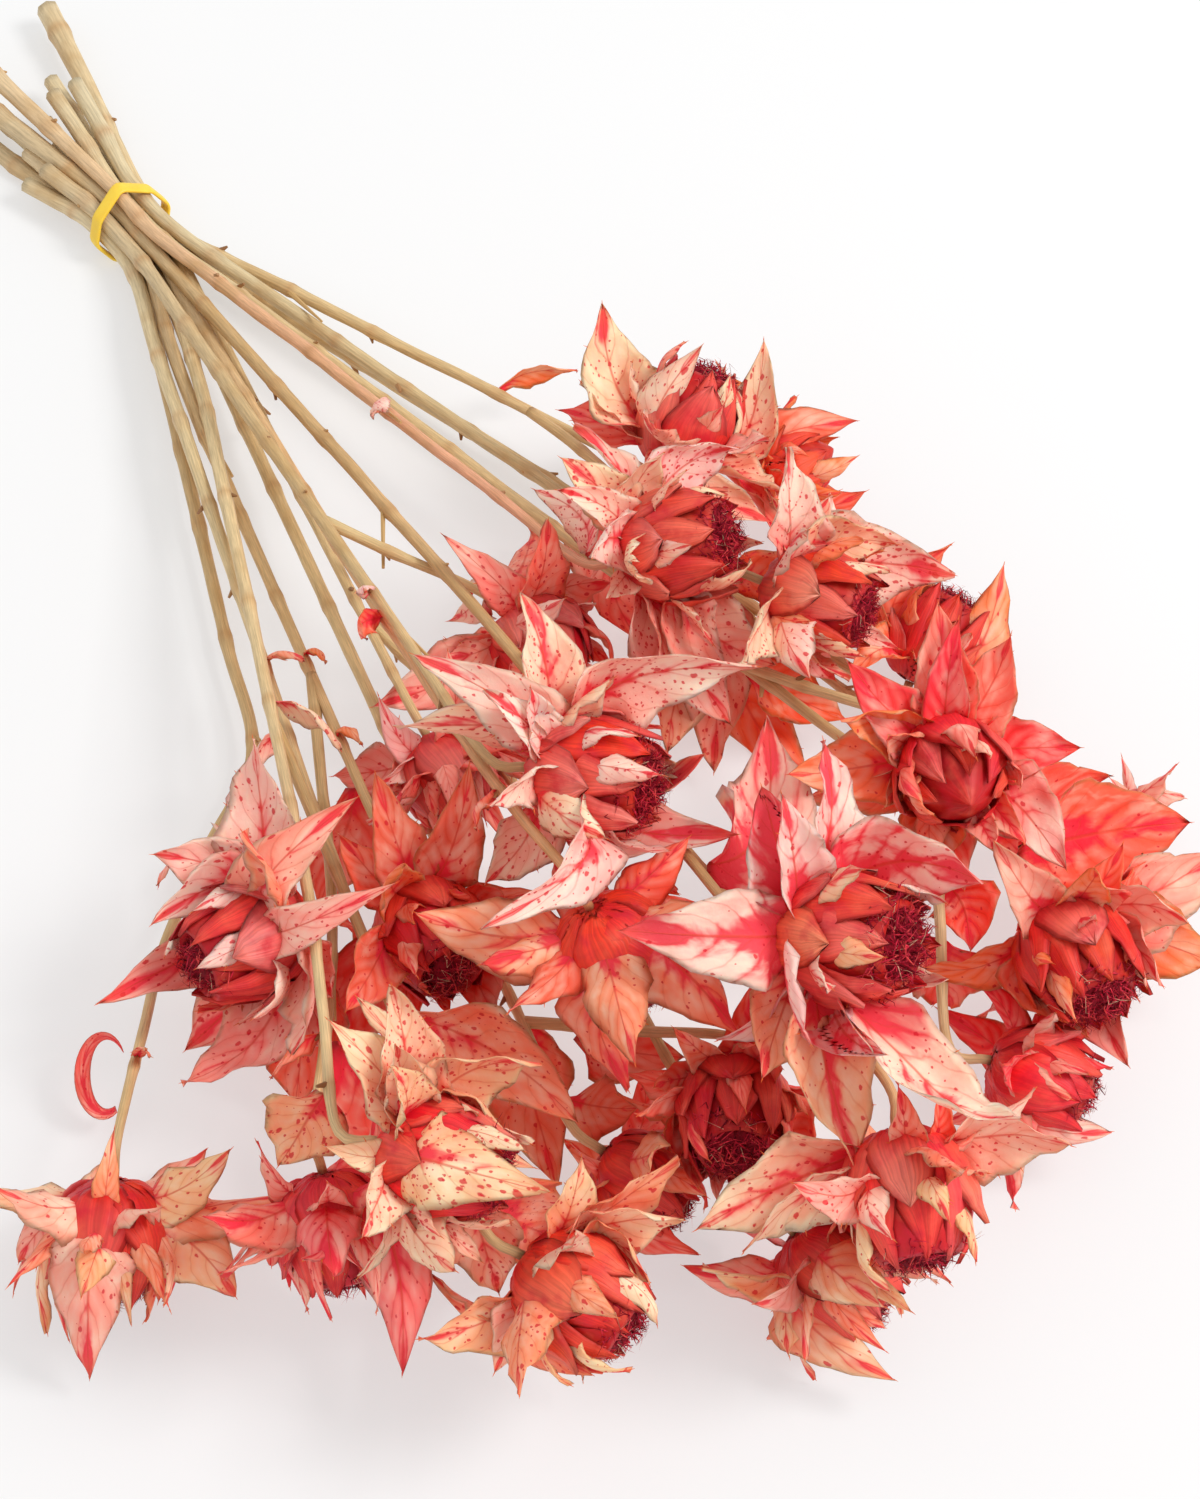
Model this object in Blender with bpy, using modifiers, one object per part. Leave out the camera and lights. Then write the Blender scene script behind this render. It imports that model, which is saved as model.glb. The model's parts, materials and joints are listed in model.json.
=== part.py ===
"""A bunch of dyed, dried safflower stems that lies on its side, tied with a rubber band.

The bunch lies along X, from the cut ends at low X to the heads at high X, and the surface
under it is z = 0. Lengths below are millimetres, and the meshes are made in metres.
"""
import math
import random
from collections import namedtuple

import bmesh
import bpy
import numpy as np
from mathutils import Matrix, Vector
from mathutils.bvhtree import BVHTree

MM = 0.001
GAP = 0.3

# The head: a ribbed urn of inner bracts, with leafy bracts round its base
URN_HEIGHT = 28.0
URN_RADIUS = 12.5
RIB_DEPTH = 0.05
BLADE_THICK = 1.3
LEAF_SLENDER = 0.54
LEAF_LENGTH = 42.0
INNER_LENGTH = 19.0
INNER_WIDTH = 9.0
ROOT_DEPTH = 3.0
LONGEST_BROAD_LEAF = 46.0
LEAF_CLEARANCE = 0.35
LEAF_TRIES = 70
TUFT_SHARE = 0.92

# The stems, tapered from the cut end to the neck under each head
CUT_RADIUS = 2.1
NECK_RADIUS = 1.15
BRANCH_RADIUS = 1.5
POINT_SPACING = 33.0
STEM_CLEARANCE = 0.65
STRAIGHT_RUN = 11.0
EASE_ROUNDS = 500
PINNED = {"stem_08": (2, 3)}

# The rubber band round the stems
BAND_X = -229.0
BAND_HALF_WIDTH = 2.0
BAND_THICK = 1.1
BAND_LEAN = 0.35
SLOT_PITCH = 4.5
SLOT_ROWS = ((3.5, 4, 12.2), (7.5, 5, 12.2), (11.5, 4, 12.2), (15.5, 1, 12.2))

# The front of the bunch: it is looked at along this turn and rise
FRONT_TURN = math.radians(52)
FRONT_RISE = math.radians(58)
RIGHT = Vector((math.cos(FRONT_TURN), math.sin(FRONT_TURN), 0))
OUT = Vector(
    (
        math.sin(FRONT_TURN) * math.cos(FRONT_RISE),
        -math.cos(FRONT_TURN) * math.cos(FRONT_RISE),
        math.sin(FRONT_RISE),
    )
)
UP = OUT.cross(RIGHT)

# Each head: the middle of its urn, where it faces, its size and its leaves. A facing is a
# clock angle seen from the front and a rise towards the viewer, in degrees. A leaf is
# the place of its tip from the urn's middle: to the right, up and towards the viewer.
Head = namedtuple("Head", "name place facing size fill seed tuft ribs tips")
HEADS = [
    Head("head_01", (100, -8, 84), (-5, 35), 1.08, 2, 11, "full", 10,
         [(-51, 2, 6), (-19, 32, 18), (-2, -54, 10), (30, -46, 12), (34, 14, 12), (-21, -31, 2)]),
    Head("head_02", (28, -25, 78), (-10, 20), 1.05, 2, 12, "full", 10,
         [(-15, 43, 8), (38, 24, 14), (-41, 28, 6), (-24, 20, 14), (-26, -31, 4), (34, -13, 2)]),
    Head("head_03", (75, 48, 66), (-70, 60), 0.95, 0, 13, "bud", 10,
         [(-4, 41, 0), (14, 33, -4), (30, 5, -2), (30, -20, 6), (-4, -27, 0), (-20, -8, -4),
          (-40, -1, 2), (-27, 26, 0)]),
    Head("head_04", (-20, 39, 62), (10, 25), 1.0, 2, 14, "full", 10,
         [(-28, 21, 6), (-8, 29, 8), (12, 30, 0), (-18, -14, 12), (27, 6, 12), (26, -31, -4)]),
    Head("head_05", (82, -109, 70), (-15, 15), 1.0, 1, 15, "full", 14,
         [(-10, 39, 10), (-25, 31, 6), (21, 27, -2), (24, -6, 14), (9, -24, 8), (-25, 3, 6)]),
    Head("head_06", (150, -30, 62), (-80, 15), 1.05, 1, 16, "full", 14,
         [(35, 16, 2), (-26, 4, 4), (13, -20, 6), (-3, 26, 10), (14, 22, 4)]),
    Head("head_07", (62, -44, 64), (-60, -30), 0.95, 2, 17, "full", 10,
         [(-46, 9, 4), (-31, -5, 8), (2, -33, 8), (28, -20, 4), (17, 26, -4), (6, -22, 14)]),
    Head("head_08", (-1, -104, 46), (205, 25), 1.05, 1, 18, "slit", 10,
         [(4, 47, 0), (-24, 21, 0), (-25, 10, 8), (-33, -14, 8), (-15, -38, 0), (25, -18, 8),
          (36, 14, 8), (26, 34, -2)]),
    Head("head_09", (118, -99, 48), (-33, 10), 1.0, 1, 19, "full", 12,
         [(-35, -9, 4), (1, 31, 6), (24, 19, 2), (24, -9, 2), (1, -23, 6), (-18, -17, 2)]),
    Head("head_10", (33, -170, 26), (-95, -5), 0.95, 0, 20, "full", 10,
         [(-4, -36, 4), (30, -13, 4), (27, 21, 4), (-22, -6, 2), (2, 26, 6), (13, -25, 2)]),
    Head("head_11", (121, 49, 42), (-65, 35), 1.0, 0, 21, "full", 10,
         [(28, 11, 2), (12, -26, 4), (24, -8, 4), (10, 27, 2), (-16, 6, 8), (-6, -22, 6)]),
    Head("head_12", (23, -69, 44), (-60, 40), 0.95, 1, 22, "slit", 10,
         [(-14, 37, 4), (-22, 24, 0), (16, -22, 6), (-18, -16, 8), (24, 4, 0)]),
    Head("head_13", (8, 62, 50), (-20, 20), 0.95, 1, 23, "full", 10,
         [(-10, 37, 10), (-6, -18, 16), (6, 26, 4), (18, 18, 8), (26, 4, 2)]),
    Head("head_14", (67, -130, 36), (-80, -5), 0.9, 4, 24, "full", 10,
         [(16, -32, 4), (-15, 21, 4), (-13, -9, 6), (-8, -26, 0)]),
    Head("head_15", (103, -41, 42), (-90, 50), 0.95, 2, 25, "full", 10,
         [(-10, -20, 6), (18, -14, 4), (-20, 6, 2)]),
    Head("head_16", (142, -42, 22), (-45, 0), 0.9, 2, 26, "full", 8,
         [(-35, 1, 0), (-12, -18, 4), (14, -24, 4), (22, 6, -2)]),
    Head("head_17", (-58, 75, 44), (70, 10), 0.95, 2, 27, "full", 10,
         [(-23, 30, 6), (6, 26, 8), (14, 24, 4), (-34, 5, -6), (-12, -14, 8)]),
    Head("head_18", (-41, 96, 24), (25, 0), 0.8, 2, 28, "bud", 8,
         [(20, 12, 2), (-4, 20, 6), (20, -6, 0)]),
    Head("head_19", (22, 92, 20), (60, 0), 0.85, 1, 29, "full", 8,
         [(8, 28, 0), (18, 20, 4), (-19, 12, 4), (22, -2, 2)]),
    Head("head_20", (134, 28, 24), (-20, 0), 0.85, 3, 30, "full", 8,
         [(18, -14, 4), (16, 12, 2)]),
    Head("head_21", (95, -62, 18), (-40, 0), 0.8, 2, 31, "full", 8,
         [(14, -16, 2), (-16, 10, 4)]),
    Head("head_22", (-29, 5, 38), (-40, 20), 0.9, 1, 32, "bud", 8,
         [(-24, 26, 0), (14, 24, 2), (-26, -4, 4)]),
    Head("head_23", (-15, -35, 32), (-60, 10), 0.85, 2, 33, "bud", 8,
         [(-18, 20, 2), (-16, -4, 4)]),
    Head("head_24", (92, 100, 12), (-30, 0), 0.5, 2, 34, "bud", 8,
         [(12, 8, 2), (6, -10, 4), (-8, 12, 2)]),
]

# Each stem: its place in the bundle, its cut end, and its way points from the band to a
# head. A branch leaves at one of the way points, counted from 0, and carries a head.
Stem = namedtuple("Stem", "name slot cut_end way head branches")
STEMS = [
    Stem("stem_01", 8, (-315, 39, 7), [(-167, 36, 20), (-136, 44, 24), (-107, 50, 28)],
         "head_18", [(2, [(-80, 56, 33)], "head_17")]),
    Stem("stem_02", 12, (-279, 26, 15), [(-147, 30, 25), (-108, 40, 30), (-66, 47, 32), (-20, 62, 22)],
         "head_19", [(3, [(-36, 58, 42)], "head_13")]),
    Stem("stem_03", 13, (-316, 8, 15), [(-176, 20, 27), (-136, 20, 34), (-107, 15, 40), (-70, 18, 48)],
         "head_04", []),
    Stem("stem_04", 3, (-266, 26, 4), [(-142, 28, 14), (-110, 36, 18), (-60, 44, 16), (0, 62, 12),
         (50, 84, 8)], "head_24", []),
    Stem("stem_05", 11, (-280, 19, 14), [(-143, 14, 22), (-98, 20, 26), (-50, 27, 24), (10, 34, 22),
         (60, 38, 26)], "head_11", [(3, [(40, 46, 42)], "head_03"), (4, [(98, 24, 24)], "head_20")]),
    Stem("stem_06", 10, (-306, 0, 12), [(-124, 8, 26), (-84, 8, 32), (-50, 8, 40), (0, 6, 50),
         (50, -4, 62)], "head_01", [(3, [(50, -14, 44), (100, -26, 58)], "head_06")]),
    Stem("stem_07", 4, (-262, -3, 7), [(-153, -14, 11), (-112, -34, 12), (-74, -62, 18), (-40, -76, 28)],
         "head_08", []),
    Stem("stem_08", 0, (-312, -6, 3), [(-140, -14, 5), (-95, -34, 6), (-66, -62, 7), (-32, -112, 10)],
         "head_10", []),
    Stem("stem_09", 5, (-272, 4, 8), [(-159, -8, 14), (-135, -17, 17), (-91, -34, 20), (-55, -48, 24)],
         "head_12", [(3, [(-20, -80, 20), (22, -116, 28)], "head_14")]),
    Stem("stem_10", 9, (-259, 2, 13), [(-160, -3, 22), (-120, -13, 30), (-92, -16, 37), (-58, -20, 48)],
         "head_02", [(2, [(-64, -6, 34)], "head_22")]),
    Stem("stem_11", 1, (-300, 6, 3), [(-142, -10, 10), (-112, -18, 14), (-81, -30, 26), (-33, -52, 38)],
         "head_05", [(3, [(10, -96, 30), (60, -98, 34)], "head_09")]),
    Stem("stem_12", 6, (-268, 12, 8), [(-150, -1, 17), (-102, -20, 25), (-57, -32, 35), (-10, -44, 48)],
         "head_07", []),
    Stem("stem_13", 2, (-282, 16, 3), [(-150, 7, 6), (-109, 2, 6), (-60, -34, 6), (0, -52, 6),
         (50, -60, 8)], "head_21", [(4, [(70, -46, 22)], "head_15")]),
    Stem("stem_14", 7, (-290, 24, 8), [(-140, 8, 12), (-90, -2, 14), (-50, -16, 16)],
         "head_23", [(2, [(-10, -4, 9), (55, -18, 8), (96, -26, 12)], "head_16")]),
]

# What holds for the look of each group of pieces
STRAW = (0.72, 0.57, 0.33, 1.0)
BAND_YELLOW = (0.93, 0.6, 0.05, 1.0)
FLORET_DARK = (0.12, 0.01, 0.02, 1.0)
BRACT_COLOURS = ((0.86, 0.36, 0.3, 1.0), (0.85, 0.22, 0.2, 1.0), (0.85, 0.45, 0.3, 1.0))

# Urn profiles from the bottom pole to the top pole: height and radius as shares
OPEN_URN = ((0.0, 0.0), (0.02, 0.32), (0.16, 0.74), (0.44, 1.0), (0.74, 0.95), (1.0, 0.72),
            (0.9, 0.52), (0.82, 0.0))
BUD_URN = ((0.0, 0.0), (0.02, 0.32), (0.16, 0.74), (0.42, 1.0), (0.68, 0.86), (0.9, 0.48),
           (1.04, 0.14), (1.07, 0.0))
TUFT = ((0.0, 0.0), (0.08, 0.47), (0.17, 0.63), (0.24, 0.66), (0.29, 0.4), (0.27, 0.0))


def clear_scene():
    for thing in list(bpy.data.objects):
        bpy.data.objects.remove(thing, do_unlink=True)


def material(name, colour, roughness):
    finish = bpy.data.materials.new(name)
    finish.use_nodes = True
    shader = finish.node_tree.nodes["Principled BSDF"]
    shader.inputs["Base Color"].default_value = colour
    shader.inputs["Roughness"].default_value = roughness
    shader.inputs["Metallic"].default_value = 0.0
    return finish


def seen(right, up, out):
    """A vector given as the front view shows it."""
    return RIGHT * right + UP * up + OUT * out


def head_axis(head):
    clock, rise = (math.radians(angle) for angle in head.facing)
    flat = math.cos(rise)
    return seen(flat * math.cos(clock), flat * math.sin(clock), math.sin(rise)).normalized()


def head_base(head):
    return Vector(head.place) - head_axis(head) * (0.5 * URN_HEIGHT * head.size)


def across(vector, axis):
    """The part of a vector that is square to an axis, at unit length."""
    flat = vector - axis * vector.dot(axis)
    if flat.length < 1e-4:
        flat = UP.cross(axis)
    return flat.normalized()


def head_matrix(head):
    """Local frame of a head: the base of its urn at the origin and its mouth up Z."""
    axis = head_axis(head)
    side = across(UP if abs(axis.dot(RIGHT)) > 0.7 else RIGHT, axis)
    turn = Matrix((side, axis.cross(side), axis)).transposed().to_4x4()
    return Matrix.Translation(head_base(head)) @ turn


def turned(profile, sides, height, radius, ribs, lift):
    """A turned solid from a ball: each ring of the ball takes its place in the profile."""
    shape = bmesh.new()
    rings = len(profile) - 1
    bmesh.ops.create_uvsphere(shape, u_segments=sides, v_segments=rings, radius=1.0)
    for vert in shape.verts:
        share = math.acos(max(-1.0, min(1.0, -vert.co.z))) / math.pi
        ring = round(share * rings)
        high, wide = profile[ring]
        angle = math.atan2(vert.co.y, vert.co.x)
        rib = 1.0 + ribs * math.cos(sides * 0.5 * angle)
        reach = wide * radius * rib
        vert.co = (reach * math.cos(angle), reach * math.sin(angle), high * height + lift)
    return shape


def urn_shape(head):
    profile = BUD_URN if head.tuft == "bud" else OPEN_URN
    height, radius = URN_HEIGHT * head.size, URN_RADIUS * head.size
    shape = turned(profile, head.ribs, height, radius, RIB_DEPTH, 0.0)
    shape.transform(head_matrix(head))
    return shape


def tuft_shape(head):
    """The dried florets: a low spiky crown that sits in the cup of the urn."""
    height, radius = URN_HEIGHT * head.size, URN_RADIUS * head.size
    cup = OPEN_URN[-1][0] * height + GAP + 0.1
    shape = turned(TUFT, 8, height, radius * TUFT_SHARE, 0.0, cup)
    for vert in shape.verts:
        if vert.co.z > cup + 0.2 * height:
            turn = round(math.atan2(vert.co.y, vert.co.x) / math.pi * 4)
            vert.co.z += 0.05 * height * (1 if turn % 2 else -1)
    if head.tuft == "slit":
        for vert in shape.verts:
            vert.co.x *= 0.7
    shape.transform(head_matrix(head))
    return shape


def urn_radius_at(share, head):
    """The urn's radius at a share of its height, read off its profile."""
    profile = BUD_URN if head.tuft == "bud" else OPEN_URN
    for (low, narrow), (high, wide) in zip(profile, profile[1:]):
        if low <= share <= high:
            reach = narrow + (wide - narrow) * (share - low) / (high - low)
            return reach * URN_RADIUS * head.size
    return URN_RADIUS * head.size


# A leaf: three points of its midrib's curve, the direction it leaves the urn's axis in,
# its axis, full width, fold, wave, turn to the front, twist and a seed for the wave
Leaf = namedtuple("Leaf", "root knee tip outward axis width fold wave turn twist phase")


def leaf_from(head, tip, height_share, bulge, look, to_front=0.0):
    """A leaf rooted in the urn that reaches a tip, its face turned partly to the front."""
    axis, base = head_axis(head), head_base(head)
    outward = across(tip - Vector(head.place), axis)
    reach = urn_radius_at(height_share, head)
    root = base + axis * (height_share * URN_HEIGHT * head.size) + outward * (reach - ROOT_DEPTH)
    span = (tip - root).length
    knee = root + (outward * bulge[0] + axis * bulge[1]) * span
    width, fold, wave, twist, phase = look
    leaf = Leaf(root, knee, tip, outward, axis, width, fold, wave, 0.0, 0.0, phase)
    _, side, face = leaf_frame(leaf, 0.6)
    to_side, to_face = OUT.dot(side), OUT.dot(face)
    turn = math.atan2(-to_side, to_face) if to_face > 0 else math.atan2(to_side, -to_face)
    return leaf._replace(turn=to_front * turn, twist=twist)


def midrib(leaf, t):
    return leaf.root * (1 - t) ** 2 + leaf.knee * (2 * t * (1 - t)) + leaf.tip * t ** 2


def midrib_way(leaf, t):
    return ((leaf.knee - leaf.root) * (1 - t) + (leaf.tip - leaf.knee) * t).normalized()


def leaf_frame(leaf, t):
    """Point, side and upper face direction of a leaf at a share of its length."""
    along = midrib_way(leaf, t)
    side = leaf.axis.cross(leaf.outward)
    face = along.cross(side).normalized()
    side = face.cross(along).normalized()
    turn = leaf.turn * min(1.0, 2.5 * t) + leaf.twist * t
    twisted = side * math.cos(turn) + face * math.sin(turn)
    return midrib(leaf, t), twisted, along.cross(twisted).normalized()


def half_width(leaf, t):
    """A pointed oval, widest at two fifths, with a drawn-out tip."""
    rise = 0.24 + 0.76 * math.sin(min(t / 0.4, 1.0) * math.pi / 2)
    fall = 1.0 if t < 0.4 else math.cos((t - 0.4) / 0.6 * math.pi / 2) ** 1.25
    return 0.5 * leaf.width * rise * fall


def blade_rings(leaf, stations, fat):
    """Lens-shaped sections of a leaf; fat widens them for the clearance test."""
    rings = []
    for t in stations:
        middle, side, face = leaf_frame(leaf, t)
        half = half_width(leaf, t) + fat
        thick = 0.5 * BLADE_THICK * (1.0 - 0.35 * t) + fat
        lift = leaf.fold * half
        wave = leaf.wave * math.sin(leaf.phase + 7.0 * t)
        left = middle - side * half + face * (lift + wave)
        right = middle + side * half + face * (lift - wave)
        rings.append([left, middle + face * thick, right, middle - face * thick])
    floor = fat if fat else 0.0
    for ring in rings:
        for corner, lowest in zip(ring, (0.0, BLADE_THICK, 0.0, 0.0)):
            corner.z = max(corner.z, lowest - floor)
    return rings


STATIONS = (0.0, 0.22, 0.48, 0.76)
SHORT_STATIONS = (0.0, 0.35, 0.68)


def blade_shape(leaf, stations=STATIONS, fat=0.0):
    """A closed blade: a loft through its lens-shaped sections, ending in a point."""
    shape = bmesh.new()
    tip = leaf.tip + midrib_way(leaf, 1.0) * fat
    tip.z = max(tip.z, 0.5 * BLADE_THICK)
    rings = [[shape.verts.new(co) for co in ring] for ring in blade_rings(leaf, stations, fat)]
    point = shape.verts.new(tip)
    for near, far in zip(rings, rings[1:]):
        for edge in (0, 2):
            for middle in (1, 3):
                shape.faces.new((near[edge], near[middle], far[middle]))
                shape.faces.new((near[edge], far[middle], far[edge]))
    for side in range(4):
        shape.faces.new((rings[-1][side], rings[-1][(side + 1) % 4], point))
    left, top, right, bottom = rings[0]
    shape.faces.new((left, top, bottom))
    shape.faces.new((right, top, bottom))
    bmesh.ops.recalc_face_normals(shape, faces=shape.faces[:])
    return shape


class Crowd:
    """Every solid placed so far, by node, for testing that a new one is clear."""

    def __init__(self):
        self.solids = []

    def add(self, node, shape, is_leaf=False):
        low, high = box_of(shape)
        self.solids.append((node, is_leaf, low, high, BVHTree.FromBMesh(shape)))

    def crossings(self, node, shape, own):
        """Pairs of triangles that cross, with the node's own leaves or with other nodes."""
        low, high = box_of(shape)
        tree = BVHTree.FromBMesh(shape)
        count = 0
        for other, is_leaf, low_2, high_2, tree_2 in self.solids:
            wanted = (other == node and is_leaf) if own else other != node
            if wanted and boxes_meet(low, high, low_2, high_2):
                count += len(tree.overlap(tree_2))
                if count and not own:
                    break
        return count


def box_of(shape):
    places = [vert.co for vert in shape.verts]
    low = [min(place[k] for place in places) for k in range(3)]
    high = [max(place[k] for place in places) for k in range(3)]
    return low, high


def boxes_meet(low, high, low_2, high_2):
    return all(low[k] <= high_2[k] and low_2[k] <= high[k] for k in range(3))


def tries(leaf, draw, count):
    """The leaf as it is, then bent and shortened more and more."""
    yield leaf
    reach = leaf.tip - leaf.root
    for step in range(1, count):
        share = step / count
        swing = math.radians(8 + 62 * share)
        pole = Vector((draw.uniform(-1, 1), draw.uniform(-1, 1), draw.uniform(-1, 1)))
        turn = Matrix.Rotation(draw.uniform(-swing, swing), 3, pole.normalized())
        shrink = 1.0 - 0.5 * share * draw.random()
        bent = (turn @ reach) * shrink
        knee = leaf.root + (leaf.knee - leaf.root) * shrink
        yield leaf._replace(
            tip=leaf.root + bent, knee=knee, width=leaf.width * shrink ** 0.5,
            wave=leaf.wave * shrink, fold=leaf.fold + 0.25 * share)


def settle(crowd, node, leaf, stations, draw):
    """The try of a leaf that is clear of every other node and crosses its own head least."""
    best = None
    for step, candidate in enumerate(tries(leaf, draw, LEAF_TRIES)):
        if candidate.tip.z < 0.5 * BLADE_THICK:
            candidate.tip.z = 0.5 * BLADE_THICK
        fat = blade_shape(candidate, stations, LEAF_CLEARANCE)
        blocked = crowd.crossings(node, fat, own=False)
        fat.free()
        if blocked:
            continue
        shape = blade_shape(candidate, stations)
        own = crowd.crossings(node, shape, own=True)
        if best is None or own + 0.25 * step < best[0]:
            if best:
                best[2].free()
            best = (own + 0.25 * step, candidate, shape)
        else:
            shape.free()
        if best[0] <= 0.25 * step:
            break
    if best is None:
        return None
    crowd.add(node, best[2], is_leaf=True)
    best[2].free()
    return best[1]


def inner_leaves(head, draw):
    """Short bracts that wrap the urn and point past its mouth."""
    axis = head_axis(head)
    count = 3 if head.size > 0.92 else 2
    start = draw.uniform(0, 2 * math.pi)
    side = across(RIGHT if abs(axis.dot(RIGHT)) < 0.7 else UP, axis)
    for index in range(count):
        angle = start + 2 * math.pi * (index + draw.uniform(-0.15, 0.15)) / count
        outward = side * math.cos(angle) + axis.cross(side) * math.sin(angle)
        length = INNER_LENGTH * head.size * draw.uniform(0.85, 1.15)
        lean = draw.uniform(0.8, 1.15)
        tip = Vector(head.place) + axis * length + outward * (URN_RADIUS * head.size * lean)
        look = (INNER_WIDTH * head.size, 0.3, 0.5, draw.uniform(-0.3, 0.3), draw.uniform(0, 6))
        yield leaf_from(head, tip, 0.4, (0.28, 0.5), look)


def leaf_look(length, draw):
    """Width, fold, wave, twist and the wave's start, as drawn for one leaf."""
    width = length * LEAF_SLENDER * draw.uniform(0.88, 1.12)
    fold = draw.uniform(0.12, 0.35)
    wave = draw.uniform(0.5, 1.1)
    twist = draw.uniform(-0.5, 0.5)
    return width, fold, wave, twist, draw.uniform(0, 6)


def chosen_leaves(head, draw):
    """The leaves that show most, each with its own tip."""
    for right, up, out in head.tips:
        tip = Vector(head.place) + seen(right, up, out)
        along = (tip - Vector(head.place)).dot(head_axis(head))
        share = 0.3 if along > 6 else 0.14
        length = min((tip - head_base(head)).length, LONGEST_BROAD_LEAF)
        look = leaf_look(length, draw)
        yield leaf_from(head, tip, share, (0.42, 0.05), look, 0.75)


def filling_leaves(head, draw):
    """Leaves in the widest gaps that the chosen ones leave round the urn."""
    axis = head_axis(head)
    side = across(RIGHT if abs(axis.dot(RIGHT)) < 0.7 else UP, axis)
    other = axis.cross(side)
    taken = []
    for tip in head.tips:
        flat = across(seen(*tip), axis)
        taken.append(math.atan2(flat.dot(other), flat.dot(side)))
    for _ in range(head.fill):
        taken.sort()
        gaps = [(b - a, a) for a, b in zip(taken, taken[1:] + [taken[0] + 2 * math.pi])]
        wide, start = max(gaps)
        angle = start + wide * draw.uniform(0.4, 0.6)
        taken.append(math.remainder(angle, 2 * math.pi))
        outward = side * math.cos(angle) + other * math.sin(angle)
        length = LEAF_LENGTH * head.size * draw.uniform(0.7, 0.95)
        tilt = math.radians(draw.uniform(55, 105))
        way = axis * math.cos(tilt) + outward * math.sin(tilt)
        tip = head_base(head) + axis * 4 + way * length
        yield leaf_from(head, tip, 0.14, (0.42, 0.1), leaf_look(length, draw), 0.35)


LEAF_LAYERS = (
    (inner_leaves, SHORT_STATIONS),
    (chosen_leaves, STATIONS),
    (filling_leaves, SHORT_STATIONS),
)


def grow_leaves(crowd):
    """Every leaf of every head, each clear of what was placed before it."""
    grown = {head.name: [] for head in HEADS}
    lost = 0
    for layer, (rule, stations) in enumerate(LEAF_LAYERS):
        for head in HEADS:
            draw = random.Random(head.seed * 10 + layer)
            for leaf in list(rule(head, draw)):
                placed = settle(crowd, head.name, leaf, stations, draw)
                if placed:
                    grown[head.name].append((placed, stations))
                else:
                    lost += 1
    print("leaves", sum(len(leaves) for leaves in grown.values()), "with no room", lost)
    return grown


def band_slots():
    """Where each stem crosses the band: rows of stems packed close together."""
    slots = []
    for height, count, middle in SLOT_ROWS:
        for index in range(count):
            across_row = middle + SLOT_PITCH * (index - 0.5 * (count - 1))
            slots.append(Vector((BAND_X, across_row, height)))
    return slots


def smooth_way(points, spacing):
    """Evenly spaced points on a smooth curve through the way points."""
    dense = []
    padded = [points[0] * 2 - points[1]] + points + [points[-1] * 2 - points[-2]]
    for a, b, c, d in zip(padded, padded[1:], padded[2:], padded[3:]):
        for step in range(12):
            t = step / 12
            dense.append(
                0.5 * ((2 * b) + (c - a) * t + (2 * a - 5 * b + 4 * c - d) * t * t
                       + (3 * b - a - 3 * c + d) * t ** 3))
    dense.append(points[-1])
    lengths = [0.0]
    for a, b in zip(dense, dense[1:]):
        lengths.append(lengths[-1] + (b - a).length)
    count = max(2, round(lengths[-1] / spacing))
    wanted = [lengths[-1] * k / count for k in range(count + 1)]
    result, place = [], 0
    for distance in wanted:
        while place < len(lengths) - 2 and lengths[place + 1] < distance:
            place += 1
        part = (distance - lengths[place]) / max(lengths[place + 1] - lengths[place], 1e-9)
        result.append(dense[place].lerp(dense[place + 1], part))
    return result


class Route:
    """One run of stem: its points, radii, the points that stay put, and where it forks."""

    def __init__(self, stem, points, radii, held, head, parent=None):
        self.stem, self.points, self.radii, self.held = stem, points, radii, held
        self.head, self.parent = head, parent


def neck_points(head):
    """The last two points of a stem: straight into the base of the urn."""
    axis, base = head_axis(head), head_base(head)
    return base - axis * STRAIGHT_RUN, base - axis * GAP


def tapered(count, root, tip, power):
    """Radii that fall from a root to a tip over a number of points."""
    return [root + (tip - root) * (k / (count - 1)) ** power for k in range(count)]


def main_route(number, stem, slot, head):
    """A stem from its cut end through the band to the head it carries."""
    straight = Vector((STRAIGHT_RUN, 0, 0))
    tail = smooth_way([Vector(stem.cut_end), slot - straight], POINT_SPACING)
    neck, end = neck_points(head)
    way = [Vector(point) for point in stem.way]
    points = tail + smooth_way([slot + straight] + way + [neck], POINT_SPACING) + [end]
    count = len(points)
    held = {len(tail) - 1, len(tail), count - 2, count - 1}
    for pinned in PINNED.get(stem.name, ()):
        nearest = min(range(count), key=lambda k: (points[k] - way[pinned]).length)
        points[nearest] = way[pinned]
        held.add(nearest)
    radii = tapered(count, CUT_RADIUS, NECK_RADIUS, 1.3)
    return Route(number, points, radii, held, stem.head)


def branch_route(main, target, way, head):
    """A side branch that leaves the stem beside a way point and carries its own head."""
    first_free = max(main.held - {len(main.points) - 1, len(main.points) - 2}) + 1
    forks = range(first_free, len(main.points) - 2)
    fork = min(forks, key=lambda k: (main.points[k] - target).length)
    neck, end = neck_points(head)
    line = [main.points[fork]] + [Vector(point) for point in way] + [neck]
    points = smooth_way(line, POINT_SPACING) + [end]
    count = len(points)
    radii = tapered(count, BRANCH_RADIUS, NECK_RADIUS, 1.0)
    return Route(main.stem, points, radii, {0, count - 2, count - 1}, head.name, (main, fork))


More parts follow.
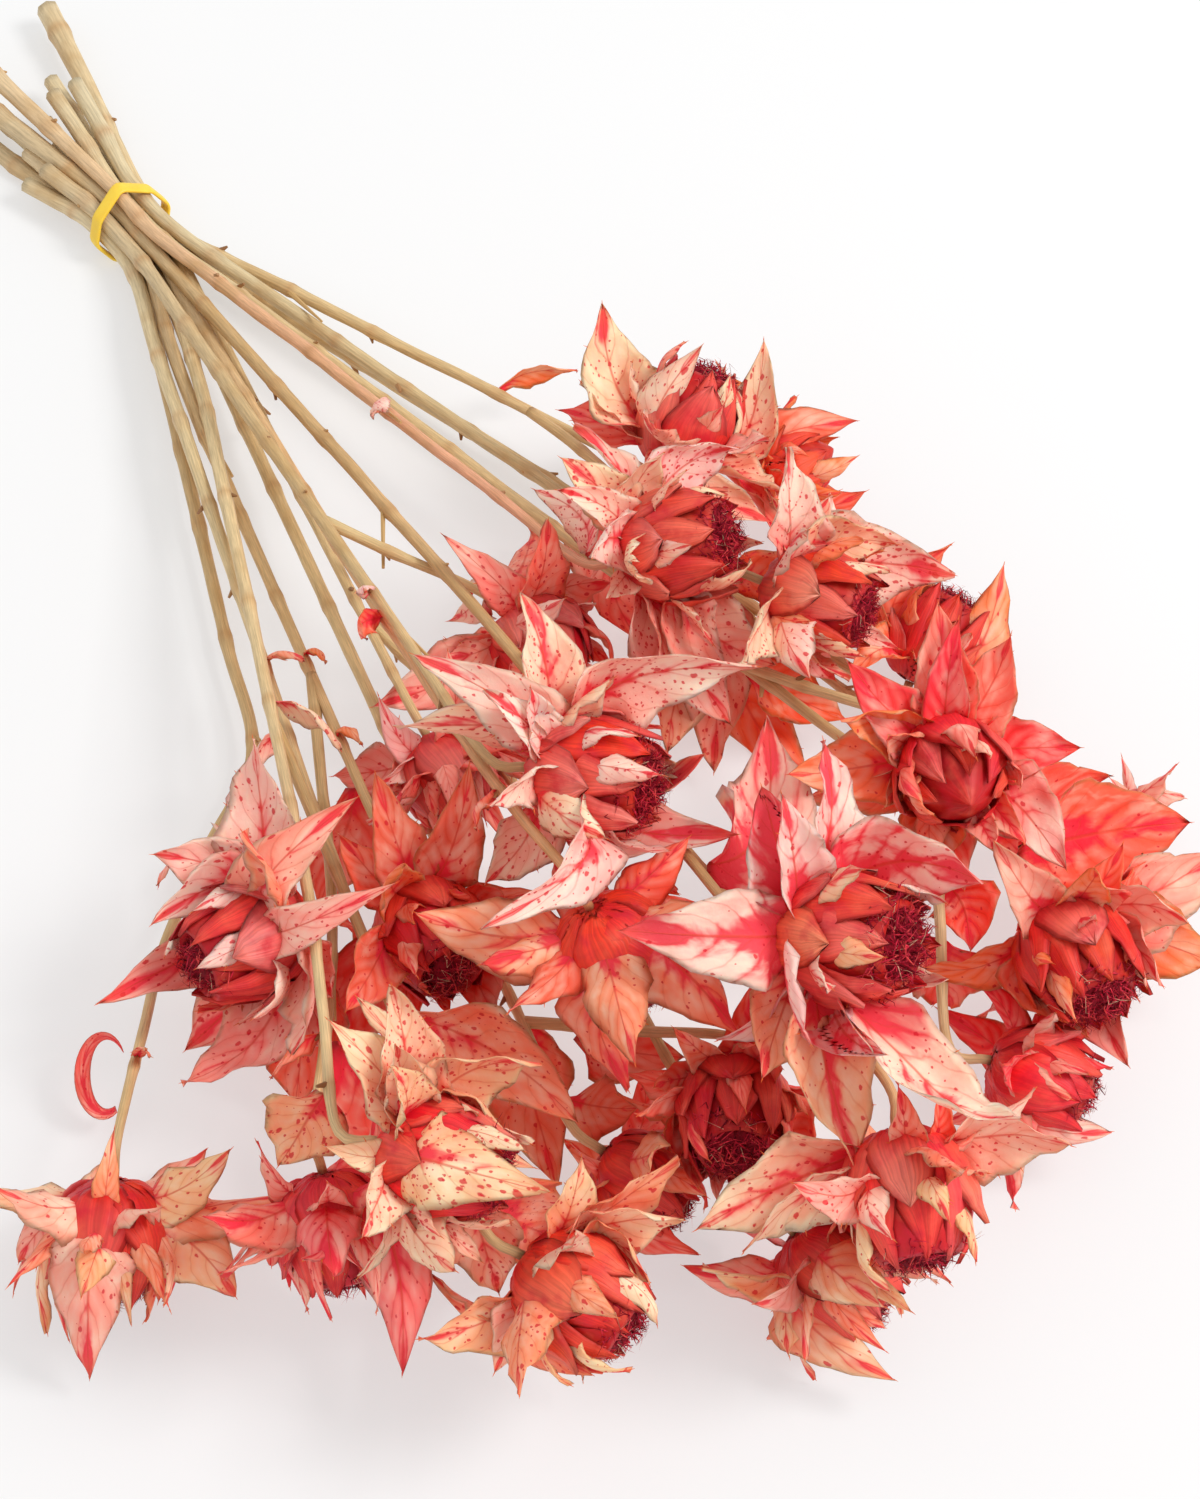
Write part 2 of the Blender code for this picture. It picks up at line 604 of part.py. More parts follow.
def lay_routes():
    """First lines of all stems and branches, before they are eased apart."""
    heads = {head.name: head for head in HEADS}
    slots = band_slots()
    routes = []
    for number, stem in enumerate(STEMS):
        main = main_route(number, stem, slots[stem.slot], heads[stem.head])
        routes.append(main)
        for knot, way, head_name in stem.branches:
            routes.append(branch_route(main, Vector(stem.way[knot]), way, heads[head_name]))
    return routes


def nearest_on_runs(a, b, c, d):
    """Shares along the runs a-b and c-d where they come nearest, for arrays of runs."""
    u, v, w = b - a, d - c, a - c
    uu, uv, vv = (u * u).sum(1), (u * v).sum(1), (v * v).sum(1)
    uw, vw = (u * w).sum(1), (v * w).sum(1)
    span = np.maximum(uu * vv - uv * uv, 1e-9)
    s = np.clip((uv * vw - vv * uw) / span, 0, 1)
    t = np.clip((uv * s + vw) / vv, 0, 1)
    s = np.clip((uv * t - uw) / uu, 0, 1)
    return s, t


def urn_core(head):
    """The line inside an urn, and the distance that stems keep from it."""
    axis, base = head_axis(head), head_base(head)
    high = base + axis * (0.9 * URN_HEIGHT * head.size)
    low = base + axis * (0.35 * URN_HEIGHT * head.size)
    return np.array(low), np.array(high), URN_RADIUS * head.size * (1 + RIB_DEPTH) + 1.0, head.name


class Bundle:
    """The points of every stem in one array, which are pushed clear step by step."""

    def __init__(self, routes):
        self.routes = routes
        self.starts = np.cumsum([0] + [len(route.points) for route in routes])
        self.places = np.array([tuple(point) for route in routes for point in route.points])
        self.radii = np.array([radius for route in routes for radius in route.radii])
        free = [k not in route.held for route in routes for k in range(len(route.points))]
        self.free = np.array(free, float)
        self.step = np.zeros_like(self.places)
        runs, stem_of = [], []
        for route, start in zip(routes, self.starts):
            for k in range(len(route.points) - 1):
                runs.append(start + k)
                stem_of.append(route.stem)
        runs, stem_of = np.array(runs), np.array(stem_of)
        first, second = np.triu_indices(len(runs), 1)
        apart = stem_of[first] != stem_of[second]
        self.pairs = runs[first[apart]], runs[second[apart]]

    def close_pairs(self):
        """The pairs of runs that are near enough to touch soon."""
        first, second = self.pairs
        middles = 0.5 * (self.places[:-1] + self.places[1:])
        distance = np.linalg.norm(middles[first] - middles[second], axis=1)
        near = distance < 1.2 * POINT_SPACING + 12
        return first[near], second[near]

    def push_stems(self, first, second):
        """Push runs that lack room apart, and return the tightest gap between two."""
        places, radii, step = self.places, self.radii, self.step
        s, t = nearest_on_runs(places[first], places[first + 1], places[second], places[second + 1])
        s, t = s[:, None], t[:, None]
        near = places[first] * (1 - s) + places[first + 1] * s
        far = places[second] * (1 - t) + places[second + 1] * t
        gap = near - far
        distance = np.linalg.norm(gap, axis=1)
        touching = np.maximum(radii[first], radii[first + 1]) + np.maximum(radii[second], radii[second + 1])
        lack = touching + STEM_CLEARANCE - distance
        close = lack > 0
        push = gap[close] / np.maximum(distance[close], 1e-6)[:, None] * (0.3 * lack[close])[:, None]
        np.add.at(step, first[close], push * (1 - s[close]))
        np.add.at(step, first[close] + 1, push * s[close])
        np.add.at(step, second[close], -push * (1 - t[close]))
        np.add.at(step, second[close] + 1, -push * t[close])
        return float((distance - touching).min())

    def push_from_core(self, low, high, radius, name):
        """Push every stem out of one urn, but for the two points that enter it."""
        for route, start in zip(self.routes, self.starts):
            last = len(route.points) - (3 if route.head == name else 1)
            if last < 1:
                continue
            a, b = self.places[start:start + last], self.places[start + 1:start + last + 1]
            c, d = np.broadcast_to(low, a.shape), np.broadcast_to(high, a.shape)
            s, t = nearest_on_runs(a, b, c, d)
            s, t = s[:, None], t[:, None]
            gap = (a * (1 - s) + b * s) - (c * (1 - t) + d * t)
            distance = np.linalg.norm(gap, axis=1)
            lack = radius + self.radii[start:start + last] - distance
            push = gap / np.maximum(distance, 1e-6)[:, None] * np.maximum(lack, 0)[:, None] * 0.5
            self.step[start:start + last] += push * (1 - s)
            self.step[start + 1:start + last + 1] += push * s

    def ease_bends(self):
        for route, start in zip(self.routes, self.starts):
            line = self.places[start:start + len(route.points)]
            bend = line[:-2] + line[2:] - 2 * line[1:-1]
            self.step[start + 1:start + len(line) - 1] += 0.06 * bend

    def move(self):
        """Take the step, stay above the surface and keep each branch on its stem."""
        self.places += self.step * self.free[:, None]
        raised = np.maximum(self.places[:, 2], self.radii + 0.05)
        self.places[:, 2] = np.where(self.free > 0, raised, self.places[:, 2])
        for route, start in zip(self.routes, self.starts):
            if route.parent:
                main, fork = route.parent
                self.places[start] = self.places[self.starts[self.routes.index(main)] + fork]


def ease_apart(routes):
    """Push the stems clear of each other, of the urns and of the surface below."""
    bundle = Bundle(routes)
    cores = [urn_core(head) for head in HEADS]
    for turn in range(EASE_ROUNDS):
        if turn % 25 == 0:
            first, second = bundle.close_pairs()
        bundle.step[:] = 0.0
        tightest = bundle.push_stems(first, second)
        for core in cores:
            bundle.push_from_core(*core)
        bundle.ease_bends()
        bundle.move()
    for route, start in zip(routes, bundle.starts):
        route.points = [Vector(place) for place in bundle.places[start:start + len(route.points)]]
    print("closest stems", round(tightest, 2), "mm apart")


def tube_object(name, points, radii):
    """A hexagonal tube along a line, as a curve turned into a closed mesh."""
    curve = bpy.data.curves.new(name, "CURVE")
    curve.dimensions = "3D"
    curve.bevel_depth = MM
    curve.bevel_resolution = 1
    curve.use_fill_caps = True
    line = curve.splines.new("POLY")
    line.points.add(len(points) - 1)
    for knot, place, radius in zip(line.points, points, radii):
        knot.co = (place.x * MM, place.y * MM, place.z * MM, 1)
        knot.radius = radius
    rod = bpy.data.objects.new(name + "_line", curve)
    bpy.context.scene.collection.objects.link(rod)
    bpy.context.view_layer.update()
    mesh = bpy.data.meshes.new_from_object(rod.evaluated_get(bpy.context.evaluated_depsgraph_get()))
    bpy.data.objects.remove(rod, do_unlink=True)
    shape = bmesh.new()
    shape.from_mesh(mesh)
    bmesh.ops.remove_doubles(shape, verts=shape.verts[:], dist=1e-6)
    bmesh.ops.triangulate(shape, faces=shape.faces[:])
    bmesh.ops.recalc_face_normals(shape, faces=shape.faces[:])
    shape.to_mesh(mesh)
    shape.free()
    mesh.name = name
    return bpy.data.objects.new(name, mesh)


def shape_object(name, shape):
    """An object in metres from a shape in millimetres."""
    shape.transform(Matrix.Scale(MM, 4))
    mesh = bpy.data.meshes.new(name)
    shape.to_mesh(mesh)
    shape.free()
    return bpy.data.objects.new(name, mesh)


def fuse(body, pieces):
    """Join the pieces to a body with one Boolean union on their collection."""
    bpy.context.scene.collection.objects.link(body)
    if not pieces:
        return
    group = bpy.data.collections.new(body.name + "_pieces")
    bpy.context.scene.collection.children.link(group)
    for piece in pieces:
        group.objects.link(piece)
    join = body.modifiers.new("join", "BOOLEAN")
    join.operation = "UNION"
    join.operand_type = "COLLECTION"
    join.collection = group
    join.solver = "EXACT"
    bpy.context.view_layer.update()
    mesh = bpy.data.meshes.new_from_object(body.evaluated_get(bpy.context.evaluated_depsgraph_get()))
    body.modifiers.clear()
    body.data = mesh
    for piece in pieces:
        bpy.data.objects.remove(piece, do_unlink=True)
    bpy.data.collections.remove(group)
    keep_largest_body(mesh)


def keep_largest_body(mesh):
    """Drop loose scraps and sealed hollows, and merge points that fall together."""
    shape = bmesh.new()
    shape.from_mesh(mesh)
    bmesh.ops.remove_doubles(shape, verts=shape.verts[:], dist=2e-6)
    bmesh.ops.dissolve_degenerate(shape, edges=shape.edges[:], dist=2e-6)
    unseen = set(shape.verts)
    bodies = []
    while unseen:
        stack, body = [unseen.pop()], []
        while stack:
            vert = stack.pop()
            body.append(vert)
            for edge in vert.link_edges:
                other = edge.other_vert(vert)
                if other in unseen:
                    unseen.discard(other)
                    stack.append(other)
        bodies.append(body)
    bodies.sort(key=len)
    scraps = [vert for body in bodies[:-1] for vert in body]
    bmesh.ops.delete(shape, geom=scraps, context="VERTS")
    bmesh.ops.triangulate(shape, faces=shape.faces[:])
    shape.to_mesh(mesh)
    shape.free()


def finish_node(node, home, finish):
    node.data.materials.clear()
    node.data.materials.append(finish)
    for collection in list(node.users_collection):
        collection.objects.unlink(node)
    home.objects.link(node)


def make_stems(crowd, home, finish):
    routes = lay_routes()
    ease_apart(routes)
    for number, stem in enumerate(STEMS):
        runs = [route for route in routes if route.stem == number]
        tubes = [tube_object(stem.name, run.points, run.radii) for run in runs]
        fuse(tubes[0], tubes[1:])
        tubes[0].name = stem.name
        finish_node(tubes[0], home, finish)
        shape = bmesh.new()
        shape.from_mesh(tubes[0].data)
        shape.transform(Matrix.Scale(1 / MM, 4))
        crowd.add(stem.name, shape)
        shape.free()


def hull_corners():
    """The outermost slots, anticlockwise from the lowest left."""
    slots = [(slot.y, slot.z) for slot in band_slots()]
    return [slots[k] for k in (0, 3, 8, 12, 13, 9, 4)]


def band_outline(offset):
    """A loop that runs at a distance round the outermost slots."""
    corners = hull_corners()
    loop = []
    for index, (y, z) in enumerate(corners):
        before, after = corners[index - 1], corners[(index + 1) % len(corners)]
        start = math.atan2(z - before[1], y - before[0]) - math.pi / 2
        end = math.atan2(after[1] - z, after[0] - y) - math.pi / 2
        turn = (end - start) % (2 * math.pi)
        for step in range(3):
            angle = start + turn * step / 2
            loop.append((y + offset * math.cos(angle), z + offset * math.sin(angle)))
    return loop


def make_band(home, finish):
    """The band: a flat strip bent round the stems, given its thickness outwards."""
    shape = bmesh.new()
    inner = band_outline(CUT_RADIUS + GAP)
    lowest = min(z for _, z in inner)
    edges = []
    for side in (-1, 1):
        row = []
        for y, z in inner:
            x = BAND_X + side * BAND_HALF_WIDTH - BAND_LEAN * (z - lowest)
            row.append(shape.verts.new((x, y, z)))
        edges.append(row)
    count = len(inner)
    for k in range(count):
        following = (k + 1) % count
        shape.faces.new((edges[0][k], edges[0][following], edges[1][following], edges[1][k]))
    bmesh.ops.recalc_face_normals(shape, faces=shape.faces[:])
    band = shape_object("rubber_band", shape)
    bpy.context.scene.collection.objects.link(band)
    wall = band.modifiers.new("wall", "SOLIDIFY")
    wall.thickness = BAND_THICK * MM
    wall.offset = 1.0
    wall.use_even_offset = True
    bpy.context.view_layer.update()
    mesh = bpy.data.meshes.new_from_object(band.evaluated_get(bpy.context.evaluated_depsgraph_get()))
    band.modifiers.clear()
    band.data = mesh
    finish_node(band, home, finish)


def make_heads(crowd, home):
    finishes = [material(f"dried_bract_{k}", colour, 0.7) for k, colour in enumerate(BRACT_COLOURS)]
    floret = material("dried_floret", FLORET_DARK, 0.85)
    for head in HEADS:
        urn = urn_shape(head)
        crowd.add(head.name, urn)
        urn.free()
    for head in HEADS:
        if head.tuft == "bud":
            continue
        name = head.name.replace("head", "florets")
        tuft = tuft_shape(head)
        crowd.add(name, tuft)
        node = shape_object(name, tuft)
        finish_node(node, home, floret)
    grown = grow_leaves(crowd)
    for number, head in enumerate(HEADS):
        urn = shape_object(head.name, urn_shape(head))
        blades = []
        for leaf, stations in grown[head.name]:
            blades.append(shape_object(head.name + "_leaf", blade_shape(leaf, stations)))
        fuse(urn, blades)
        finish_node(urn, home, finishes[number % len(finishes)])


def centre_bunch(home):
    """Put the origin under the middle of the whole bunch."""
    places = []
    for node in home.objects:
        places.extend(tuple(vert.co) for vert in node.data.vertices)
    places = np.array(places)
    low, high = places.min(0), places.max(0)
    shift = Matrix.Translation((-0.5 * (low[0] + high[0]), -0.5 * (low[1] + high[1]), -low[2]))
    for node in home.objects:
        node.data.transform(shift)
    print("size", [round(float(size) * 1000, 1) for size in high - low], "lowest", round(low[2] * 1000, 3))


def main():
    clear_scene()
    home = bpy.data.collections.new("safflower_bunch")
    bpy.context.scene.collection.children.link(home)
    crowd = Crowd()
    straw = material("dried_stem", STRAW, 0.75)
    make_stems(crowd, home, straw)
    make_band(home, material("yellow_rubber", BAND_YELLOW, 0.5))
    make_heads(crowd, home)
    centre_bunch(home)


main()
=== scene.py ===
# %% [markdown]
# A bunch of dyed, dried safflower lies on its side on a white table. It is tied with one
# yellow rubber band, and its leafy heads fan out away from the tie. This lesson dresses the
# plain solid model of that bunch: every stem, head and tuft of florets is made again as a
# finer mesh in the same place. The bunch could be sculpted by hand, but a grown thing repeats
# the same few shapes hundreds of times, so rules with seeded draws are the shorter way.

# %% Load the solid model
import json
import random
from collections import namedtuple
from functools import partial
from math import (acos, atan2, copysign, cos, exp, hypot, inf, pi, radians,
                  remainder, sin, sqrt, tau)

import bmesh
import bpy
import numpy as np
from mathutils import Matrix, Vector, noise
from mathutils.bvhtree import BVHTree

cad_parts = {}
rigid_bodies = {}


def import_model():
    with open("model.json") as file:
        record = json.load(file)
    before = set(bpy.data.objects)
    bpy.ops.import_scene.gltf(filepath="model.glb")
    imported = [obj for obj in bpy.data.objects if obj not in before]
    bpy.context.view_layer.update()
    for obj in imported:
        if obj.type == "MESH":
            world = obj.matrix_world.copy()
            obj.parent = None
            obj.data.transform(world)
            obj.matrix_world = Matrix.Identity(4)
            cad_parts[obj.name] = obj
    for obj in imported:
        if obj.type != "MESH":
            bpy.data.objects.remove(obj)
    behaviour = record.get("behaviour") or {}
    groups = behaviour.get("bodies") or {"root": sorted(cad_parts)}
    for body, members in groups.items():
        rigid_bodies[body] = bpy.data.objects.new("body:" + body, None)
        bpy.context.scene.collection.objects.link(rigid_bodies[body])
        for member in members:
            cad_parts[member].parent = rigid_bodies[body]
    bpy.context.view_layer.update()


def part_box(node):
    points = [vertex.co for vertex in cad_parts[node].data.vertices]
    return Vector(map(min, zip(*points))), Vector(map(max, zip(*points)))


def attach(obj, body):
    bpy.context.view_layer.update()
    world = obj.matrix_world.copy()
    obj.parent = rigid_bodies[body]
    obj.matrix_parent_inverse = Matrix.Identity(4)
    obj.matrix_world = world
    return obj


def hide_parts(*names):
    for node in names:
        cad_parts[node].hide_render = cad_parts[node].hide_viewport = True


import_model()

# without a seed, the noise that crumples the leaves starts anew in each run
noise.seed_set(7)


def put_in_scene(name, data):
    """A new object in the scene."""
    made = bpy.data.objects.new(name, data)
    bpy.context.scene.collection.objects.link(made)
    return made


# %% [markdown]
# The bunch is laid out in millimetres, because a petal is easier to think of as 40 long than
# as 0.04. One vector then carries every place into the model's own metres. It is read from
# the rubber band, whose place in the layout is known.

# %% Units and the shared origin
MM = 0.001
GAP = 0.3
BAND_X = -229.0
BAND_HALF_WIDTH = 2.0
BAND_THICK = 1.1
BAND_LEAN = 0.35
BAND_INNER_Y = -0.3

band_low, band_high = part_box("rubber_band")
SHIFT = Vector((band_high[0] / MM - BAND_X - BAND_HALF_WIDTH,
                band_low[1] / MM - BAND_INNER_Y, 0))
TO_MODEL = Matrix.Scale(MM, 4) @ Matrix.Translation(SHIFT)
print("layout to model, mm:", [round(value, 2) for value in SHIFT])

# %% [markdown]
# The camera looks down on the bunch from its side, 58 degrees above the table, so that the
# stems come in at the upper left. Three unit vectors say what is right, up and towards the
# viewer in that view. The heads' leaves are given with them, as a florist would point.

# %% The camera
PHOTO_WIDTH, PHOTO_HEIGHT = 1200, 1499
FRONT_TURN = radians(52)
FRONT_RISE = radians(58)
CAMERA_DISTANCE = 900.0
FOCAL_PIXELS = 3600.0
SENSOR = 36.0
RIGHT = Vector((cos(FRONT_TURN), sin(FRONT_TURN), 0))
OUT = Vector((sin(FRONT_TURN) * cos(FRONT_RISE),
              -cos(FRONT_TURN) * cos(FRONT_RISE),
              sin(FRONT_RISE)))
UP = OUT.cross(RIGHT)
AIM = Vector((0, 0, 30))

camera_data = bpy.data.cameras.new("front_camera")
camera = put_in_scene("front_camera", camera_data)
camera_data.sensor_fit = "VERTICAL"
camera_data.sensor_height = SENSOR
camera_data.lens = FOCAL_PIXELS / PHOTO_HEIGHT * SENSOR
camera_data.clip_start = 0.05
place = (AIM + OUT * CAMERA_DISTANCE + SHIFT) * MM
camera.matrix_world = Matrix.Translation(place) @ Matrix((RIGHT, UP, OUT)).transposed().to_4x4()
bpy.context.scene.camera = camera
print("lens", round(camera_data.lens, 1), "mm")

# %% [markdown]
# The table is a plain white sheet. The light is one soft panel, 0.7 m wide, up to the right,
# with white light from all round, so that the shadows under the heads stay pale. Half of the
# sheet's brightness is its own, as on a light table. The Standard view keeps it white, where
# the default view would grey it.

# %% Table and light
bpy.context.scene.view_settings.view_transform = "Standard"
KEY_POWER = 27.0
KEY_SIZE = 0.7
KEY_DISTANCE = 2.2
KEY_WAY = (RIGHT * 0.7 + UP * 0.4 + OUT * 0.7).normalized()
AROUND = 0.8
SHEET_GLOW = 0.5
TABLE_HALF = 3.0
# a hair below the lowest leaves, so that no face lies in the table's own plane
TABLE_HEIGHT = -0.0004

floor_mesh = bmesh.new()
bmesh.ops.create_grid(floor_mesh, x_segments=1, y_segments=1, size=TABLE_HALF)
floor_data = bpy.data.meshes.new("table_top")
floor_mesh.to_mesh(floor_data)
floor_mesh.free()
floor = put_in_scene("table_top", floor_data)
floor.location.z = TABLE_HEIGHT

panel = bpy.data.lights.new("soft_panel", "AREA")
panel.energy = KEY_POWER
panel.size = KEY_SIZE
panel_object = put_in_scene("soft_panel", panel)
panel_object.location = AIM * MM + KEY_WAY * KEY_DISTANCE
panel_object.rotation_mode = "QUATERNION"
panel_object.rotation_quaternion = KEY_WAY.to_track_quat("Z", "Y")

world = bpy.data.worlds.new("white_room")
bpy.context.scene.world = world
world.use_nodes = True
background = world.node_tree.nodes["Background"].inputs
background["Color"].default_value = (1.0, 1.0, 1.0, 1.0)
background["Strength"].default_value = AROUND
print("key light", KEY_POWER, "W")

# %% [markdown]
# A head is a ribbed urn of close bracts with an open mouth and leafy bracts all round. The
# table gives each head the middle of its urn, where it faces, its size and the tips of the
# leaves that show most. It is the same list that the solid model was made from, so the fine
# leaves grow where the plain ones are.

# %% The heads
URN_HEIGHT = 28.0
URN_RADIUS = 12.5
RIB_DEPTH = 0.05
BLADE_THICK = 1.3
LEAF_SLENDER = 0.54
LEAF_LENGTH = 42.0
INNER_LENGTH = 19.0
INNER_WIDTH = 9.0
ROOT_DEPTH = 3.0
LONGEST_BROAD_LEAF = 46.0
LEAF_CLEARANCE = 0.35
LEAF_TRIES = 70
COST_OF_A_TRY = 0.25
TUFT_SHARE = 0.92

Head = namedtuple("Head", "name place facing size fill seed tuft ribs tips")
HEAD_ROWS = [
    ((100, -8, 84), (-5, 35), 1.08, 2, "full", 10,
     [(-51, 2, 6), (-19, 32, 18), (-2, -54, 10), (30, -46, 12), (34, 14, 12), (-21, -31, 2)]),
    ((28, -25, 78), (-10, 20), 1.05, 2, "full", 10,
     [(-15, 43, 8), (38, 24, 14), (-41, 28, 6), (-24, 20, 14), (-26, -31, 4), (34, -13, 2)]),
    ((75, 48, 66), (-70, 60), 0.95, 0, "bud", 10,
     [(-4, 41, 0), (14, 33, -4), (30, 5, -2), (30, -20, 6), (-4, -27, 0), (-20, -8, -4),
      (-40, -1, 2), (-27, 26, 0)]),
    ((-20, 39, 62), (10, 25), 1.0, 2, "full", 10,
     [(-28, 21, 6), (-8, 29, 8), (12, 30, 0), (-18, -14, 12), (27, 6, 12), (26, -31, -4)]),
    ((82, -109, 70), (-15, 15), 1.0, 1, "full", 14,
     [(-10, 39, 10), (-25, 31, 6), (21, 27, -2), (24, -6, 14), (9, -24, 8), (-25, 3, 6)]),
    ((150, -30, 62), (-80, 15), 1.05, 1, "full", 14,
     [(35, 16, 2), (-26, 4, 4), (13, -20, 6), (-3, 26, 10), (14, 22, 4)]),
    ((62, -44, 64), (-60, -30), 0.95, 2, "full", 10,
     [(-46, 9, 4), (-31, -5, 8), (2, -33, 8), (28, -20, 4), (17, 26, -4), (6, -22, 14)]),
    ((-1, -104, 46), (205, 25), 1.05, 1, "slit", 10,
     [(4, 47, 0), (-24, 21, 0), (-25, 10, 8), (-33, -14, 8), (-15, -38, 0), (25, -18, 8),
      (36, 14, 8), (26, 34, -2)]),
    ((118, -99, 48), (-33, 10), 1.0, 1, "full", 12,
     [(-35, -9, 4), (1, 31, 6), (24, 19, 2), (24, -9, 2), (1, -23, 6), (-18, -17, 2)]),
    ((33, -170, 26), (-95, -5), 0.95, 0, "full", 10,
     [(-4, -36, 4), (30, -13, 4), (27, 21, 4), (-22, -6, 2), (2, 26, 6), (13, -25, 2)]),
    ((121, 49, 42), (-65, 35), 1.0, 0, "full", 10,
     [(28, 11, 2), (12, -26, 4), (24, -8, 4), (10, 27, 2), (-16, 6, 8), (-6, -22, 6)]),
    ((23, -69, 44), (-60, 40), 0.95, 1, "slit", 10,
     [(-14, 37, 4), (-22, 24, 0), (16, -22, 6), (-18, -16, 8), (24, 4, 0)]),
    ((8, 62, 50), (-20, 20), 0.95, 1, "full", 10,
     [(-10, 37, 10), (-6, -18, 16), (6, 26, 4), (18, 18, 8), (26, 4, 2)]),
    ((67, -130, 36), (-80, -5), 0.9, 4, "full", 10,
     [(16, -32, 4), (-15, 21, 4), (-13, -9, 6), (-8, -26, 0)]),
    ((103, -41, 42), (-90, 50), 0.95, 2, "full", 10,
     [(-10, -20, 6), (18, -14, 4), (-20, 6, 2)]),
    ((142, -42, 22), (-45, 0), 0.9, 2, "full", 8,
     [(-35, 1, 0), (-12, -18, 4), (14, -24, 4), (22, 6, -2)]),
    ((-58, 75, 44), (70, 10), 0.95, 2, "full", 10,
     [(-23, 30, 6), (6, 26, 8), (14, 24, 4), (-34, 5, -6), (-12, -14, 8)]),
    ((-41, 96, 24), (25, 0), 0.8, 2, "bud", 8,
     [(20, 12, 2), (-4, 20, 6), (20, -6, 0)]),
    ((22, 92, 20), (60, 0), 0.85, 1, "full", 8,
     [(8, 28, 0), (18, 20, 4), (-19, 12, 4), (22, -2, 2)]),
    ((134, 28, 24), (-20, 0), 0.85, 3, "full", 8,
     [(18, -14, 4), (16, 12, 2)]),
    ((95, -62, 18), (-40, 0), 0.8, 2, "full", 8,
     [(14, -16, 2), (-16, 10, 4)]),
    ((-29, 5, 38), (-40, 20), 0.9, 1, "bud", 8,
     [(-24, 26, 0), (14, 24, 2), (-26, -4, 4)]),
    ((-15, -35, 32), (-60, 10), 0.85, 2, "bud", 8,
     [(-18, 20, 2), (-16, -4, 4)]),
    ((92, 100, 12), (-30, 0), 0.5, 2, "bud", 8,
     [(12, 8, 2), (6, -10, 4), (-8, 12, 2)]),
]
HEADS = [Head(f"head_{number:02}", *row[:4], 10 + number, *row[4:])
         for number, row in enumerate(HEAD_ROWS, 1)]

# Urn profiles from the bottom pole to the top pole: height and radius as shares
OPEN_URN = ((0.0, 0.0), (0.02, 0.32), (0.16, 0.74), (0.44, 1.0), (0.74, 0.95), (1.0, 0.72),
            (0.9, 0.52), (0.82, 0.0))
BUD_URN = ((0.0, 0.0), (0.02, 0.32), (0.16, 0.74), (0.42, 1.0), (0.68, 0.86), (0.9, 0.48),
           (1.04, 0.14), (1.07, 0.0))
TUFT = ((0.0, 0.0), (0.08, 0.47), (0.17, 0.63), (0.24, 0.66), (0.29, 0.4), (0.27, 0.0))
OPEN_HEADS = [head for head in HEADS if head.tuft != "bud"]
print(len(HEADS), "heads")

# %% [markdown]
# Each head has its own frame: the base of its urn is the origin and its mouth looks up Z.
# Plain turned solids, from a ball whose rings take their places in a profile, stand for the
# urns and the tufts while the leaves look for room.

# %% Head frames and plain urns
def seen(right, up, out):
    """A vector given as the front view shows it."""
    return RIGHT * right + UP * up + OUT * out


def head_axis(head):
    clock, rise = (radians(angle) for angle in head.facing)
    flat = cos(rise)
    return seen(flat * cos(clock), flat * sin(clock), sin(rise)).normalized()


def head_base(head):
    return Vector(head.place) - head_axis(head) * (0.5 * URN_HEIGHT * head.size)


def across(vector, axis):
    """The part of a vector that is square to an axis, at unit length."""
    flat = vector - axis * vector.dot(axis)
    if flat.length < 1e-4:
        flat = UP.cross(axis)
    return flat.normalized()


def ways_round(axis):
    """Two directions square to an axis and to each other: turns round it count from these."""
    side = across(RIGHT if abs(axis.dot(RIGHT)) < 0.7 else UP, axis)
    return side, axis.cross(side)


def turned_way(side, other, angle):
    return side * cos(angle) + other * sin(angle)


def head_matrix(head):
    axis = head_axis(head)
    turn = Matrix((*ways_round(axis), axis)).transposed().to_4x4()
    return Matrix.Translation(head_base(head)) @ turn


def urn_size(head):
    """Height and radius of the head's urn."""
    return URN_HEIGHT * head.size, URN_RADIUS * head.size


def turned(profile, sides, height, radius, ribs, lift):
    """A turned solid from a ball: each ring of the ball takes its place in the profile."""
    shape = bmesh.new()
    rings = len(profile) - 1
    bmesh.ops.create_uvsphere(shape, u_segments=sides, v_segments=rings, radius=1.0)
    for vert in shape.verts:
        share = acos(max(-1.0, min(1.0, -vert.co.z))) / pi
        ring = round(share * rings)
        high, wide = profile[ring]
        angle = atan2(vert.co.y, vert.co.x)
        rib = 1.0 + ribs * cos(sides * 0.5 * angle)
        reach = wide * radius * rib
        vert.co = (reach * cos(angle), reach * sin(angle), high * height + lift)
    return shape


def profile_of(head):
    return BUD_URN if head.tuft == "bud" else OPEN_URN


def urn_shape(head):
    height, radius = urn_size(head)
    shape = turned(profile_of(head), head.ribs, height, radius, RIB_DEPTH, 0.0)
    shape.transform(head_matrix(head))
    return shape


def tuft_flatness(head):
    """A tuft in a slit of a mouth is narrower one way."""
    return 0.7 if head.tuft == "slit" else 1.0


def tuft_shape(head):
    """The room that the dried florets take: a low spiky crown in the cup of the urn."""
    height, radius = urn_size(head)
    cup = OPEN_URN[-1][0] * height + GAP + 0.1
    shape = turned(TUFT, 8, height, radius * TUFT_SHARE, 0.0, cup)
    for vert in shape.verts:
        if vert.co.z > cup + 0.2 * height:
            turn = round(atan2(vert.co.y, vert.co.x) / pi * 4)
            vert.co.z += 0.05 * height * (1 if turn % 2 else -1)
    for vert in shape.verts:
        vert.co.x *= tuft_flatness(head)
    shape.transform(head_matrix(head))
    return shape


